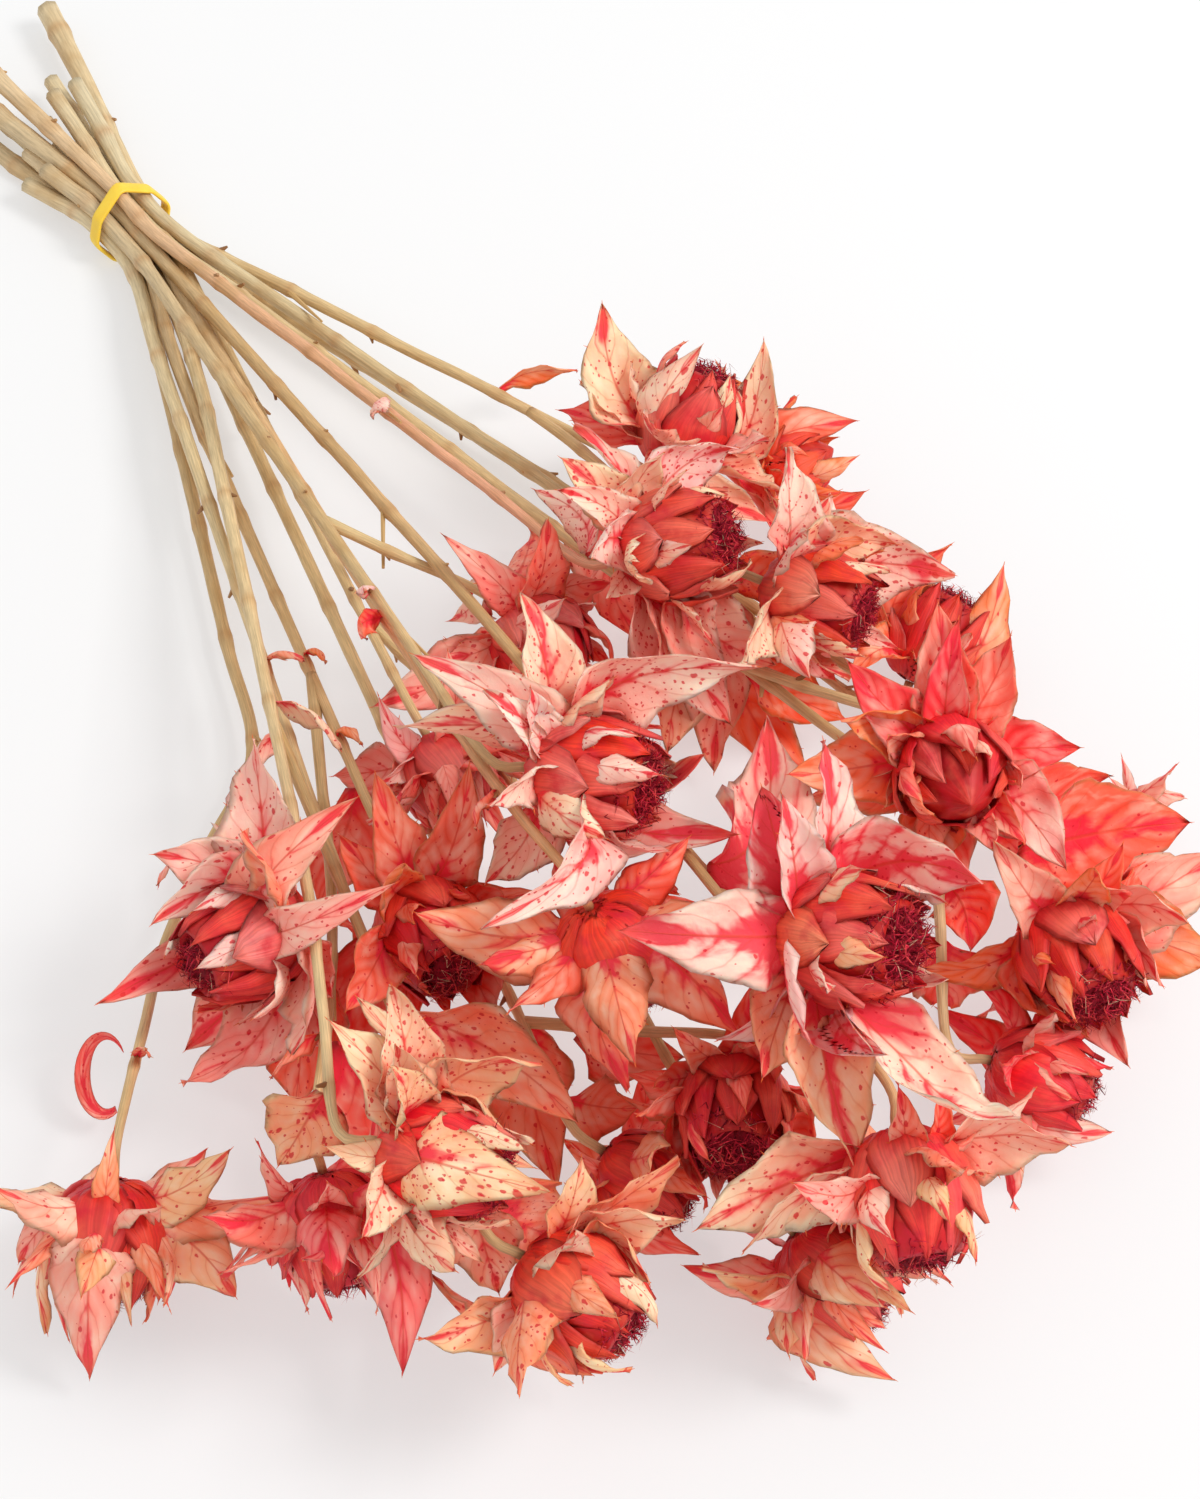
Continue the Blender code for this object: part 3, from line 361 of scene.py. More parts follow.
def urn_radius_at(share, head):
    """The urn's radius at a share of its height, read off its profile."""
    profile = profile_of(head)
    for (low, narrow), (high, wide) in zip(profile, profile[1:]):
        if low <= share <= high:
            reach = narrow + (wide - narrow) * (share - low) / (high - low)
            return reach * URN_RADIUS * head.size
    return URN_RADIUS * head.size


print("first head faces", [round(value, 2) for value in head_axis(HEADS[0])])

# %% [markdown]
# A leaf is three points of its midrib's curve and a frame that travels along it: a side
# direction and a face direction. Everything else, such as its fold, its wave and its twist,
# is a small formula on top. A coarse closed blade made this way tests whether there is room.

# %% The rule of a leaf
Leaf = namedtuple("Leaf", "root knee tip outward axis width fold wave turn twist phase")
STATIONS = (0.0, 0.22, 0.48, 0.76)
SHORT_STATIONS = (0.0, 0.35, 0.68)


def leaf_from(head, tip, height_share, bulge, look, to_front=0.0):
    """A leaf rooted in the urn that reaches a tip, its face turned partly to the front."""
    axis, base = head_axis(head), head_base(head)
    outward = across(tip - Vector(head.place), axis)
    reach = urn_radius_at(height_share, head)
    root = base + axis * (height_share * URN_HEIGHT * head.size) + outward * (reach - ROOT_DEPTH)
    span = (tip - root).length
    knee = root + (outward * bulge[0] + axis * bulge[1]) * span
    return faced_leaf(root, knee, tip, outward, axis, look, to_front)


def faced_leaf(root, knee, tip, outward, axis, look, to_front):
    """A leaf with its look: width, fold, wave, twist and phase; to_front is how far it turns."""
    width, fold, wave, twist, phase = look
    leaf = Leaf(root, knee, tip, outward, axis, width, fold, wave, 0.0, 0.0, phase)
    _, side, face = leaf_frame(leaf, 0.6)
    to_side, to_face = OUT.dot(side), OUT.dot(face)
    turn = atan2(-to_side, to_face) if to_face > 0 else atan2(to_side, -to_face)
    return leaf._replace(turn=to_front * turn, twist=twist)


def midrib(leaf, t):
    return leaf.root * (1 - t) ** 2 + leaf.knee * (2 * t * (1 - t)) + leaf.tip * t ** 2


def midrib_way(leaf, t):
    return ((leaf.knee - leaf.root) * (1 - t) + (leaf.tip - leaf.knee) * t).normalized()


def leaf_frame(leaf, t):
    """Point, side and upper face direction of a leaf at a share of its length."""
    along = midrib_way(leaf, t)
    side = leaf.axis.cross(leaf.outward)
    face = along.cross(side).normalized()
    side = face.cross(along).normalized()
    turn = leaf.turn * min(1.0, 2.5 * t) + leaf.twist * t
    twisted = side * cos(turn) + face * sin(turn)
    return midrib(leaf, t), twisted, along.cross(twisted).normalized()


def half_width(leaf, t):
    """A pointed oval, widest at two fifths, with a drawn-out tip."""
    rise = 0.24 + 0.76 * sin(min(t / 0.4, 1.0) * pi / 2)
    fall = 1.0 if t < 0.4 else cos((t - 0.4) / 0.6 * pi / 2) ** 1.25
    return 0.5 * leaf.width * rise * fall


def blade_rings(leaf, stations, fat):
    """Lens-shaped sections of a leaf; fat widens them for the clearance test."""
    rings = []
    for t in stations:
        middle, side, face = leaf_frame(leaf, t)
        half = half_width(leaf, t) + fat
        thick = 0.5 * BLADE_THICK * (1.0 - 0.35 * t) + fat
        lift = leaf.fold * half
        wave = leaf.wave * sin(leaf.phase + 7.0 * t)
        left = middle - side * half + face * (lift + wave)
        right = middle + side * half + face * (lift - wave)
        rings.append([left, middle + face * thick, right, middle - face * thick])
    for ring in rings:
        for corner, lowest in zip(ring, (0.0, BLADE_THICK, 0.0, 0.0)):
            corner.z = max(corner.z, lowest - fat)
    return rings


def blade_shape(leaf, stations=STATIONS, fat=0.0):
    """A coarse closed blade, as the solid model has it: a guide that isn't shown."""
    shape = bmesh.new()
    tip = leaf.tip + midrib_way(leaf, 1.0) * fat
    tip.z = max(tip.z, 0.5 * BLADE_THICK)
    rings = [[shape.verts.new(co) for co in ring] for ring in blade_rings(leaf, stations, fat)]
    point = shape.verts.new(tip)
    for near, far in zip(rings, rings[1:]):
        for edge in (0, 2):
            for middle in (1, 3):
                shape.faces.new((near[edge], near[middle], far[middle]))
                shape.faces.new((near[edge], far[middle], far[edge]))
    for side in range(4):
        shape.faces.new((rings[-1][side], rings[-1][(side + 1) % 4], point))
    left, top, right, bottom = rings[0]
    shape.faces.new((left, top, bottom))
    shape.faces.new((right, top, bottom))
    return shape


print("a leaf is widest at", round(2 * half_width(leaf_from(
    HEADS[0], Vector((140, 0, 90)), 0.14, (0.4, 0.1), (20, 0.2, 1, 0, 0)), 0.4), 1), "mm")

# %% [markdown]
# No leaf may cut through a neighbour's urn, stem or leaf. The crowd holds a search tree for
# every solid placed so far. A new leaf is tried as it is drawn, then bent and shortened more
# and more, until it is clear. Boxes are compared first, all at once, since that is cheap.

# %% Finding room for leaves
def triangles_of(shape):
    triangles = shape.calc_loop_triangles()
    return np.array([[loop.vert.co[:] for loop in loops] for loops in triangles])


class Crowd:
    """Every solid placed so far, by node, for testing that a new one is clear."""

    def __init__(self):
        self.nodes, self.leafy, self.trees, self.triangles = [], [], [], []
        self.lows, self.highs = np.zeros((0, 3)), np.zeros((0, 3))

    def add(self, node, shape, is_leaf=False):
        """Take a shape in; it is freed after that."""
        places = np.array([vert.co for vert in shape.verts])
        self.nodes.append(node)
        self.leafy.append(is_leaf)
        self.trees.append(BVHTree.FromBMesh(shape))
        self.triangles.append(triangles_of(shape))
        self.lows = np.vstack((self.lows, places.min(0)))
        self.highs = np.vstack((self.highs, places.max(0)))
        shape.free()

    def crossings(self, node, shape, own):
        """Pairs of triangles that cross, with the node's own leaves or with other nodes."""
        places = np.array([vert.co for vert in shape.verts])
        low, high = places.min(0), places.max(0)
        meet = ((low <= self.highs) & (self.lows <= high)).all(1)
        tree = BVHTree.FromBMesh(shape)
        count = 0
        for k in np.nonzero(meet)[0]:
            if self.nodes[k] == node and self.leafy[k] if own else self.nodes[k] != node:
                count += len(tree.overlap(self.trees[k]))
                if count and not own:
                    break
        return count

    def blocks(self, node, leaf, stations=SHORT_STATIONS):
        """Whether a leaf comes nearer to another node than the clearance."""
        fat = blade_shape(leaf, stations, LEAF_CLEARANCE)
        count = self.crossings(node, fat, own=False)
        fat.free()
        return count > 0


def tries(leaf, draw, count):
    """The leaf as it is, then bent and shortened more and more."""
    yield leaf
    reach = leaf.tip - leaf.root
    for step in range(1, count):
        share = step / count
        swing = radians(8 + 62 * share)
        pole = Vector((draw.uniform(-1, 1), draw.uniform(-1, 1), draw.uniform(-1, 1)))
        turn = Matrix.Rotation(draw.uniform(-swing, swing), 3, pole.normalized())
        shrink = 1.0 - 0.5 * share * draw.random()
        bent = (turn @ reach) * shrink
        knee = leaf.root + (leaf.knee - leaf.root) * shrink
        yield leaf._replace(
            tip=leaf.root + bent, knee=knee, width=leaf.width * shrink ** 0.5,
            wave=leaf.wave * shrink, fold=leaf.fold + 0.25 * share)


def settle(crowd, node, leaf, stations, draw, count=LEAF_TRIES):
    """The try of a leaf that is clear of every other node and crosses its own head least."""
    best, least = None, inf
    for step, candidate in enumerate(tries(leaf, draw, count)):
        candidate.tip.z = max(candidate.tip.z, 0.5 * BLADE_THICK)
        if crowd.blocks(node, candidate, stations):
            continue
        shape = blade_shape(candidate, stations)
        cost = crowd.crossings(node, shape, own=True) + COST_OF_A_TRY * step
        shape.free()
        if cost < least:
            best, least = candidate, cost
        if least <= COST_OF_A_TRY * step:
            break
    if best:
        crowd.add(node, blade_shape(best, stations), is_leaf=True)
    return best


crowd = Crowd()

# %% [markdown]
# Leaves come in layers, as on the plant: short bracts that wrap the urn, the long leaves that
# show most, leaves in the gaps between them, and last the layers that only this dressed model
# has. A leaf that had to be bent far off its chosen tip gets a second one, lifted over its
# neighbours, and then come short collar bracts and thin leaves low down behind.

# %% The layers of leaves
COLLAR_LENGTH = 21.0
BACK_LENGTH = 35.0
FRINGE_LENGTH = 31.0
# how many fringe bracts these heads have, and how narrow they are
FRINGED = {"head_14": (26, 0.44), "head_10": (15, 0.52), "head_16": (15, 0.52),
           "head_23": (15, 0.52)}
MISSED_BY = 9.0
MISSED_LIFTS = (4, 9, 14, 19, 25, 31)
grown = {head.name: [] for head in HEADS}


def turns_round(head, draw, count, looseness):
    """Outward ways at even turns round the urn, each off by a drawn share of a turn."""
    start = draw.uniform(0, tau)
    for index in range(count):
        angle = start + tau * (index + draw.uniform(-looseness, looseness)) / count
        yield turned_way(*ways_round(head_axis(head)), angle)


def inner_leaves(head, draw):
    """Short bracts that wrap the urn and point past its mouth."""
    axis = head_axis(head)
    for outward in turns_round(head, draw, 3 if head.size > 0.92 else 2, 0.15):
        length = INNER_LENGTH * head.size * draw.uniform(0.85, 1.15)
        lean = draw.uniform(0.8, 1.15)
        tip = Vector(head.place) + axis * length + outward * (URN_RADIUS * head.size * lean)
        look = (INNER_WIDTH * head.size, 0.3, 0.5, draw.uniform(-0.3, 0.3), draw.uniform(0, 6))
        yield leaf_from(head, tip, 0.4, (0.28, 0.5), look)


def leaf_look(length, draw):
    """Width, fold, wave, twist and the wave's start, as drawn for one leaf."""
    width = length * LEAF_SLENDER * draw.uniform(0.88, 1.12)
    fold = draw.uniform(0.12, 0.35)
    wave = draw.uniform(0.5, 1.1)
    twist = draw.uniform(-0.5, 0.5)
    return width, fold, wave, twist, draw.uniform(0, 6)


def chosen_leaves(head, draw):
    """The leaves that show most, each with its own tip."""
    for right, up, out in head.tips:
        tip = Vector(head.place) + seen(right, up, out)
        along = (tip - Vector(head.place)).dot(head_axis(head))
        share = 0.3 if along > 6 else 0.14
        length = min((tip - head_base(head)).length, LONGEST_BROAD_LEAF)
        look = leaf_look(length, draw)
        yield leaf_from(head, tip, share, (0.42, 0.05), look, 0.75)


def filling_leaves(head, draw):
    """Leaves in the widest gaps that the chosen ones leave round the urn."""
    axis = head_axis(head)
    side, other = ways_round(axis)
    taken = []
    for tip in head.tips:
        flat = across(seen(*tip), axis)
        taken.append(atan2(flat.dot(other), flat.dot(side)))
    for _ in range(head.fill):
        taken.sort()
        gaps = [(b - a, a) for a, b in zip(taken, taken[1:] + [taken[0] + tau])]
        wide, start = max(gaps)
        angle = start + wide * draw.uniform(0.4, 0.6)
        taken.append(remainder(angle, tau))
        outward = turned_way(side, other, angle)
        length = LEAF_LENGTH * head.size * draw.uniform(0.7, 0.95)
        tilt = radians(draw.uniform(55, 105))
        way = axis * cos(tilt) + outward * sin(tilt)
        tip = head_base(head) + axis * 4 + way * length
        yield leaf_from(head, tip, 0.14, (0.42, 0.1), leaf_look(length, draw), 0.35)


def ring_of_leaves(head, draw, count, tilts, length, share, slender, to_front):
    """Leaves all round the urn, each leaning from its axis by a drawn tilt."""
    axis = head_axis(head)
    for outward in turns_round(head, draw, count, 0.25):
        tilt = radians(draw.uniform(*tilts))
        reach = length * head.size * draw.uniform(0.75, 1.1)
        root = head_base(head) + axis * (share * URN_HEIGHT * head.size)
        root += outward * (urn_radius_at(share, head) * 0.8)
        tip = root + (axis * cos(tilt) + outward * sin(tilt)) * reach
        width, fold, wave, twist, phase = leaf_look(reach, draw)
        look = (width * slender, fold, wave, twist, phase)
        yield leaf_from(head, tip, share, (0.42, 0.2), look, to_front)


def missed_leaves(head, draw):
    """A leaf for each chosen tip that no leaf came near, lifted over what is in its way."""
    for right, up, out in head.tips:
        wanted = Vector(head.place) + seen(right, up, out)
        misses = [leaf.tip - wanted for leaf, _ in grown[head.name]]
        if min(hypot(miss.dot(RIGHT), miss.dot(UP)) for miss in misses) < MISSED_BY:
            continue
        look = leaf_look(min((wanted - head_base(head)).length, LONGEST_BROAD_LEAF), draw)
        for lift in MISSED_LIFTS:
            tip = wanted + OUT * lift
            share = 0.3 if lift > 10 else 0.14
            leaf = leaf_from(head, tip, share, (0.35, 0.1 + 0.02 * lift), look, 0.75)
            if not crowd.blocks(head.name, leaf):
                yield leaf
                break


def fringe_leaves(head, draw):
    """Many narrow bracts, on the few heads that have opened to a tassel."""
    if head.name not in FRINGED:
        return []
    count, slender = FRINGED[head.name]
    return ring_of_leaves(head, draw, count, (12, 80), FRINGE_LENGTH, 0.3, slender, 0.3)


def collar_leaves(head, draw):
    """Short bracts that stand close round the urn."""
    return ring_of_leaves(head, draw, 5, (15, 55), COLLAR_LENGTH, 0.34, 0.9, 0.0)


def back_leaves(head, draw):
    """Thin leaves low down, which close the whorl behind."""
    return ring_of_leaves(head, draw, 6, (60, 110), BACK_LENGTH, 0.12, 0.95, 0.4)


LEAF_LAYERS = (
    (inner_leaves, SHORT_STATIONS, LEAF_TRIES),
    (chosen_leaves, STATIONS, LEAF_TRIES),
    (filling_leaves, SHORT_STATIONS, LEAF_TRIES),
    (missed_leaves, SHORT_STATIONS, 1),
    (fringe_leaves, SHORT_STATIONS, 16),
    (collar_leaves, SHORT_STATIONS, 24),
    (back_leaves, SHORT_STATIONS, 40),
)


def grow_leaves(crowd):
    """Every leaf of every head with its layer, clear of what was placed before it."""
    lost = 0
    for layer, (rule, stations, count) in enumerate(LEAF_LAYERS):
        for head in HEADS:
            draw = random.Random(head.seed * 10 + layer)
            for leaf in list(rule(head, draw)):
                placed = settle(crowd, head.name, leaf, stations, draw, count)
                if placed:
                    grown[head.name].append((placed, layer))
                else:
                    lost += 1
        print("leaves after layer", layer, sum(map(len, grown.values())), "no room for", lost)


print(sum(len(head.tips) for head in HEADS), "leaves with a chosen tip")

# %% [markdown]
# A stem runs from its cut end through the band to the head it carries, and may fork. Its way
# points are listed, and the rest is a smooth curve. The table is the solid model's.

# %% The stems
CUT_RADIUS = 2.1
NECK_RADIUS = 1.15
BRANCH_RADIUS = 1.5
POINT_SPACING = 33.0
STEM_CLEARANCE = 0.65
STRAIGHT_RUN = 11.0
EASE_ROUNDS = 500
SHARE_OF_LACK = 0.3
BEND_EASED = 0.06
# way points that the easing leaves where they are
PINNED = {"stem_08": (2, 3)}
# rows of stems at the band: how high each is and how many it has
SLOT_PITCH = 4.5
SLOT_MIDDLE = 12.2
SLOT_ROWS = ((3.5, 4), (7.5, 5), (11.5, 4), (15.5, 1))

Stem = namedtuple("Stem", "name slot cut_end way head branches")
STEM_ROWS = [
    (8, (-315, 39, 7), [(-167, 36, 20), (-136, 44, 24), (-107, 50, 28)],
     "head_18", [(2, [(-80, 56, 33)], "head_17")]),
    (12, (-279, 26, 15),
     [(-147, 30, 25), (-108, 40, 30), (-66, 47, 32), (-20, 62, 22)],
     "head_19", [(3, [(-36, 58, 42)], "head_13")]),
    (13, (-316, 8, 15),
     [(-176, 20, 27), (-136, 20, 34), (-107, 15, 40), (-70, 18, 48)], "head_04", []),
    (3, (-266, 26, 4),
     [(-142, 28, 14), (-110, 36, 18), (-60, 44, 16), (0, 62, 12), (50, 84, 8)],
     "head_24", []),
    (11, (-280, 19, 14),
     [(-143, 14, 22), (-98, 20, 26), (-50, 27, 24), (10, 34, 22), (60, 38, 26)],
     "head_11", [(3, [(40, 46, 42)], "head_03"), (4, [(98, 24, 24)], "head_20")]),
    (10, (-306, 0, 12),
     [(-124, 8, 26), (-84, 8, 32), (-50, 8, 40), (0, 6, 50), (50, -4, 62)],
     "head_01", [(3, [(50, -14, 44), (100, -26, 58)], "head_06")]),
    (4, (-262, -3, 7),
     [(-153, -14, 11), (-112, -34, 12), (-74, -62, 18), (-40, -76, 28)], "head_08", []),
    (0, (-312, -6, 3),
     [(-140, -14, 5), (-95, -34, 6), (-66, -62, 7), (-32, -112, 10)], "head_10", []),
    (5, (-272, 4, 8),
     [(-159, -8, 14), (-135, -17, 17), (-91, -34, 20), (-55, -48, 24)],
     "head_12", [(3, [(-20, -80, 20), (22, -116, 28)], "head_14")]),
    (9, (-259, 2, 13),
     [(-160, -3, 22), (-120, -13, 30), (-92, -16, 37), (-58, -20, 48)],
     "head_02", [(2, [(-64, -6, 34)], "head_22")]),
    (1, (-300, 6, 3),
     [(-142, -10, 10), (-112, -18, 14), (-81, -30, 26), (-33, -52, 38)],
     "head_05", [(3, [(10, -96, 30), (60, -98, 34)], "head_09")]),
    (6, (-268, 12, 8),
     [(-150, -1, 17), (-102, -20, 25), (-57, -32, 35), (-10, -44, 48)], "head_07", []),
    (2, (-282, 16, 3),
     [(-150, 7, 6), (-109, 2, 6), (-60, -34, 6), (0, -52, 6), (50, -60, 8)],
     "head_21", [(4, [(70, -46, 22)], "head_15")]),
    (7, (-290, 24, 8), [(-140, 8, 12), (-90, -2, 14), (-50, -16, 16)],
     "head_23", [(2, [(-10, -4, 9), (55, -18, 8), (96, -26, 12)], "head_16")]),
]
STEMS = [Stem(f"stem_{number:02}", *row) for number, row in enumerate(STEM_ROWS, 1)]


def band_slots():
    """Where each stem crosses the band: rows of stems packed close together."""
    slots = []
    for height, count in SLOT_ROWS:
        for index in range(count):
            across_row = SLOT_MIDDLE + SLOT_PITCH * (index - 0.5 * (count - 1))
            slots.append(Vector((BAND_X, across_row, height)))
    return slots


def smooth_between(a, b, c, d, t):
    """The share t of the way from b to c, on a smooth curve that also passes a and d."""
    return 0.5 * ((2 * b) + (c - a) * t + (2 * a - 5 * b + 4 * c - d) * t * t
                  + (3 * b - a - 3 * c + d) * t ** 3)


def smooth_way(points, spacing):
    """Evenly spaced points on a smooth curve through the way points."""
    dense = []
    padded = [points[0] * 2 - points[1]] + points + [points[-1] * 2 - points[-2]]
    for four in zip(padded, padded[1:], padded[2:], padded[3:]):
        dense += [smooth_between(*four, step / 12) for step in range(12)]
    dense.append(points[-1])
    lengths = [0.0]
    for a, b in zip(dense, dense[1:]):
        lengths.append(lengths[-1] + (b - a).length)
    count = max(2, round(lengths[-1] / spacing))
    wanted = [lengths[-1] * k / count for k in range(count + 1)]
    result, at = [], 0
    for distance in wanted:
        while at < len(lengths) - 2 and lengths[at + 1] < distance:
            at += 1
        part = (distance - lengths[at]) / max(lengths[at + 1] - lengths[at], 1e-9)
        result.append(dense[at].lerp(dense[at + 1], part))
    return result


print(len(STEMS), "stems and", sum(len(stem.branches) for stem in STEMS), "side branches")

# %% [markdown]
# The first lines of the stems run into each other in the middle of the bunch. They are eased
# apart as a hand would shuffle them: in many small rounds, each run is pushed off its
# neighbours and off the urns, and every bend is softened. The two points at the band and the
# two at each urn stay put.

# %% Laying the stems
class Route:
    """One run of stem: its points, radii, the points that stay put, and where it forks."""

    def __init__(self, stem, points, radii, held, head, parent=None):
        self.stem, self.points, self.radii, self.held = stem, points, radii, held
        self.head, self.parent = head, parent


def neck_points(head):
    """The last two points of a stem: straight into the base of the urn."""
    axis, base = head_axis(head), head_base(head)
    return base - axis * STRAIGHT_RUN, base - axis * GAP


def tapered(count, root, tip, power):
    """Radii that fall from a root to a tip over a number of points."""
    return [root + (tip - root) * (k / (count - 1)) ** power for k in range(count)]


def main_route(number, stem, slot, head):
    """A stem from its cut end through the band to the head it carries."""
    straight = Vector((STRAIGHT_RUN, 0, 0))
    tail = smooth_way([Vector(stem.cut_end), slot - straight], POINT_SPACING)
    neck, end = neck_points(head)
    way = [Vector(point) for point in stem.way]
    points = tail + smooth_way([slot + straight] + way + [neck], POINT_SPACING) + [end]
    count = len(points)
    held = {len(tail) - 1, len(tail), count - 2, count - 1}
    for pinned in PINNED.get(stem.name, ()):
        nearest = min(range(count), key=lambda k: (points[k] - way[pinned]).length)
        points[nearest] = way[pinned]
        held.add(nearest)
    radii = tapered(count, CUT_RADIUS, NECK_RADIUS, 1.3)
    return Route(number, points, radii, held, stem.head)


def branch_route(main, target, way, head):
    """A side branch that leaves the stem beside a way point and carries its own head."""
    first_free = max(main.held - {len(main.points) - 1, len(main.points) - 2}) + 1
    forks = range(first_free, len(main.points) - 2)
    fork = min(forks, key=lambda k: (main.points[k] - target).length)
    neck, end = neck_points(head)
    line = [main.points[fork]] + [Vector(point) for point in way] + [neck]
    points = smooth_way(line, POINT_SPACING) + [end]
    count = len(points)
    radii = tapered(count, BRANCH_RADIUS, NECK_RADIUS, 1.0)
    return Route(main.stem, points, radii, {0, count - 2, count - 1}, head.name, (main, fork))


def lay_routes():
    """First lines of all stems and branches, before they are eased apart."""
    heads = {head.name: head for head in HEADS}
    slots = band_slots()
    routes = []
    for number, stem in enumerate(STEMS):
        main = main_route(number, stem, slots[stem.slot], heads[stem.head])
        routes.append(main)
        for knot, way, head_name in stem.branches:
            routes.append(branch_route(main, Vector(stem.way[knot]), way, heads[head_name]))
    return routes


def nearest_on_runs(a, b, c, d):
    """Shares along the runs a-b and c-d where they come nearest, as columns for many runs."""
    u, v, w = b - a, d - c, a - c
    uu, uv, vv = (u * u).sum(1), (u * v).sum(1), (v * v).sum(1)
    uw, vw = (u * w).sum(1), (v * w).sum(1)
    span = np.maximum(uu * vv - uv * uv, 1e-9)
    s = np.clip((uv * vw - vv * uw) / span, 0, 1)
    t = np.clip((uv * s + vw) / vv, 0, 1)
    s = np.clip((uv * t - uw) / uu, 0, 1)
    return s[:, None], t[:, None]


def urn_core(head):
    """The line inside an urn, and the distance that stems keep from it."""
    axis, base = head_axis(head), head_base(head)
    high = base + axis * (0.9 * URN_HEIGHT * head.size)
    low = base + axis * (0.35 * URN_HEIGHT * head.size)
    return np.array(low), np.array(high), URN_RADIUS * head.size * (1 + RIB_DEPTH) + 1.0, head.name


class Bundle:
    """The points of every stem in one array, which are pushed clear step by step."""

    def __init__(self, routes):
        self.routes = routes
        self.starts = np.cumsum([0] + [len(route.points) for route in routes])
        self.places = np.array([tuple(point) for route in routes for point in route.points])
        self.radii = np.array([radius for route in routes for radius in route.radii])
        free = [k not in route.held for route in routes for k in range(len(route.points))]
        self.free = np.array(free, float)
        self.step = np.zeros_like(self.places)
        runs, stem_of = [], []
        for route, start in zip(routes, self.starts):
            for k in range(len(route.points) - 1):
                runs.append(start + k)
                stem_of.append(route.stem)
        runs, stem_of = np.array(runs), np.array(stem_of)
        first, second = np.triu_indices(len(runs), 1)
        apart = stem_of[first] != stem_of[second]
        self.pairs = runs[first[apart]], runs[second[apart]]

    def close_pairs(self):
        """The pairs of runs that are near enough to touch soon."""
        first, second = self.pairs
        middles = 0.5 * (self.places[:-1] + self.places[1:])
        distance = np.linalg.norm(middles[first] - middles[second], axis=1)
        near = distance < 1.2 * POINT_SPACING + 12
        return first[near], second[near]

    def push_stems(self, first, second):
        """Push runs that lack room apart, and return the tightest gap between two."""
        places, radii, step = self.places, self.radii, self.step
        s, t = nearest_on_runs(places[first], places[first + 1],
                               places[second], places[second + 1])
        near = places[first] * (1 - s) + places[first + 1] * s
        far = places[second] * (1 - t) + places[second + 1] * t
        gap = near - far
        distance = np.linalg.norm(gap, axis=1)
        touching = (np.maximum(radii[first], radii[first + 1])
                    + np.maximum(radii[second], radii[second + 1]))
        lack = touching + STEM_CLEARANCE - distance
        close = lack > 0
        push = gap[close] / np.maximum(distance[close], 1e-6)[:, None]
        push *= (SHARE_OF_LACK * lack[close])[:, None]
        np.add.at(step, first[close], push * (1 - s[close]))
        np.add.at(step, first[close] + 1, push * s[close])
        np.add.at(step, second[close], -push * (1 - t[close]))
        np.add.at(step, second[close] + 1, -push * t[close])
        return float((distance - touching).min())

    def push_from_core(self, low, high, radius, name):
        """Push every stem out of one urn, but for the two points that enter it."""
        for route, start in zip(self.routes, self.starts):
            last = len(route.points) - (3 if route.head == name else 1)
            if last < 1:
                continue
            a, b = self.places[start:start + last], self.places[start + 1:start + last + 1]
            c, d = np.broadcast_to(low, a.shape), np.broadcast_to(high, a.shape)
            s, t = nearest_on_runs(a, b, c, d)
            gap = (a * (1 - s) + b * s) - (c * (1 - t) + d * t)
            distance = np.linalg.norm(gap, axis=1)
            lack = radius + self.radii[start:start + last] - distance
            push = gap / np.maximum(distance, 1e-6)[:, None] * np.maximum(lack, 0)[:, None] * 0.5
            self.step[start:start + last] += push * (1 - s)
            self.step[start + 1:start + last + 1] += push * s

    def ease_bends(self):
        for route, start in zip(self.routes, self.starts):
            line = self.places[start:start + len(route.points)]
            bend = line[:-2] + line[2:] - 2 * line[1:-1]
            self.step[start + 1:start + len(line) - 1] += BEND_EASED * bend

    def move(self):
        """Take the step, stay above the surface and keep each branch on its stem."""
        self.places += self.step * self.free[:, None]
        raised = np.maximum(self.places[:, 2], self.radii + 0.05)
        self.places[:, 2] = np.where(self.free > 0, raised, self.places[:, 2])
        for route, start in zip(self.routes, self.starts):
            if route.parent:
                main, fork = route.parent
                self.places[start] = self.places[self.starts[self.routes.index(main)] + fork]


def ease_apart(routes):
    """Push the stems clear of each other, of the urns and of the surface below."""
    bundle = Bundle(routes)
    cores = [urn_core(head) for head in HEADS]
    for turn in range(EASE_ROUNDS):
        if turn % 25 == 0:
            first, second = bundle.close_pairs()
        bundle.step[:] = 0.0
        tightest = bundle.push_stems(first, second)
        for core in cores:
            bundle.push_from_core(*core)
        bundle.ease_bends()
        bundle.move()
    for route, start in zip(routes, bundle.starts):
        route.points = [Vector(place) for place in bundle.places[start:start + len(route.points)]]
    print("closest stems", round(tightest, 2), "mm apart")


routes = lay_routes()
ease_apart(routes)

# %% [markdown]
# While the leaves look for room, each stem stands in the crowd as the thin six-sided rod
# that the solid model has. A curve with a bevel is the quickest rod, and it is thrown away.

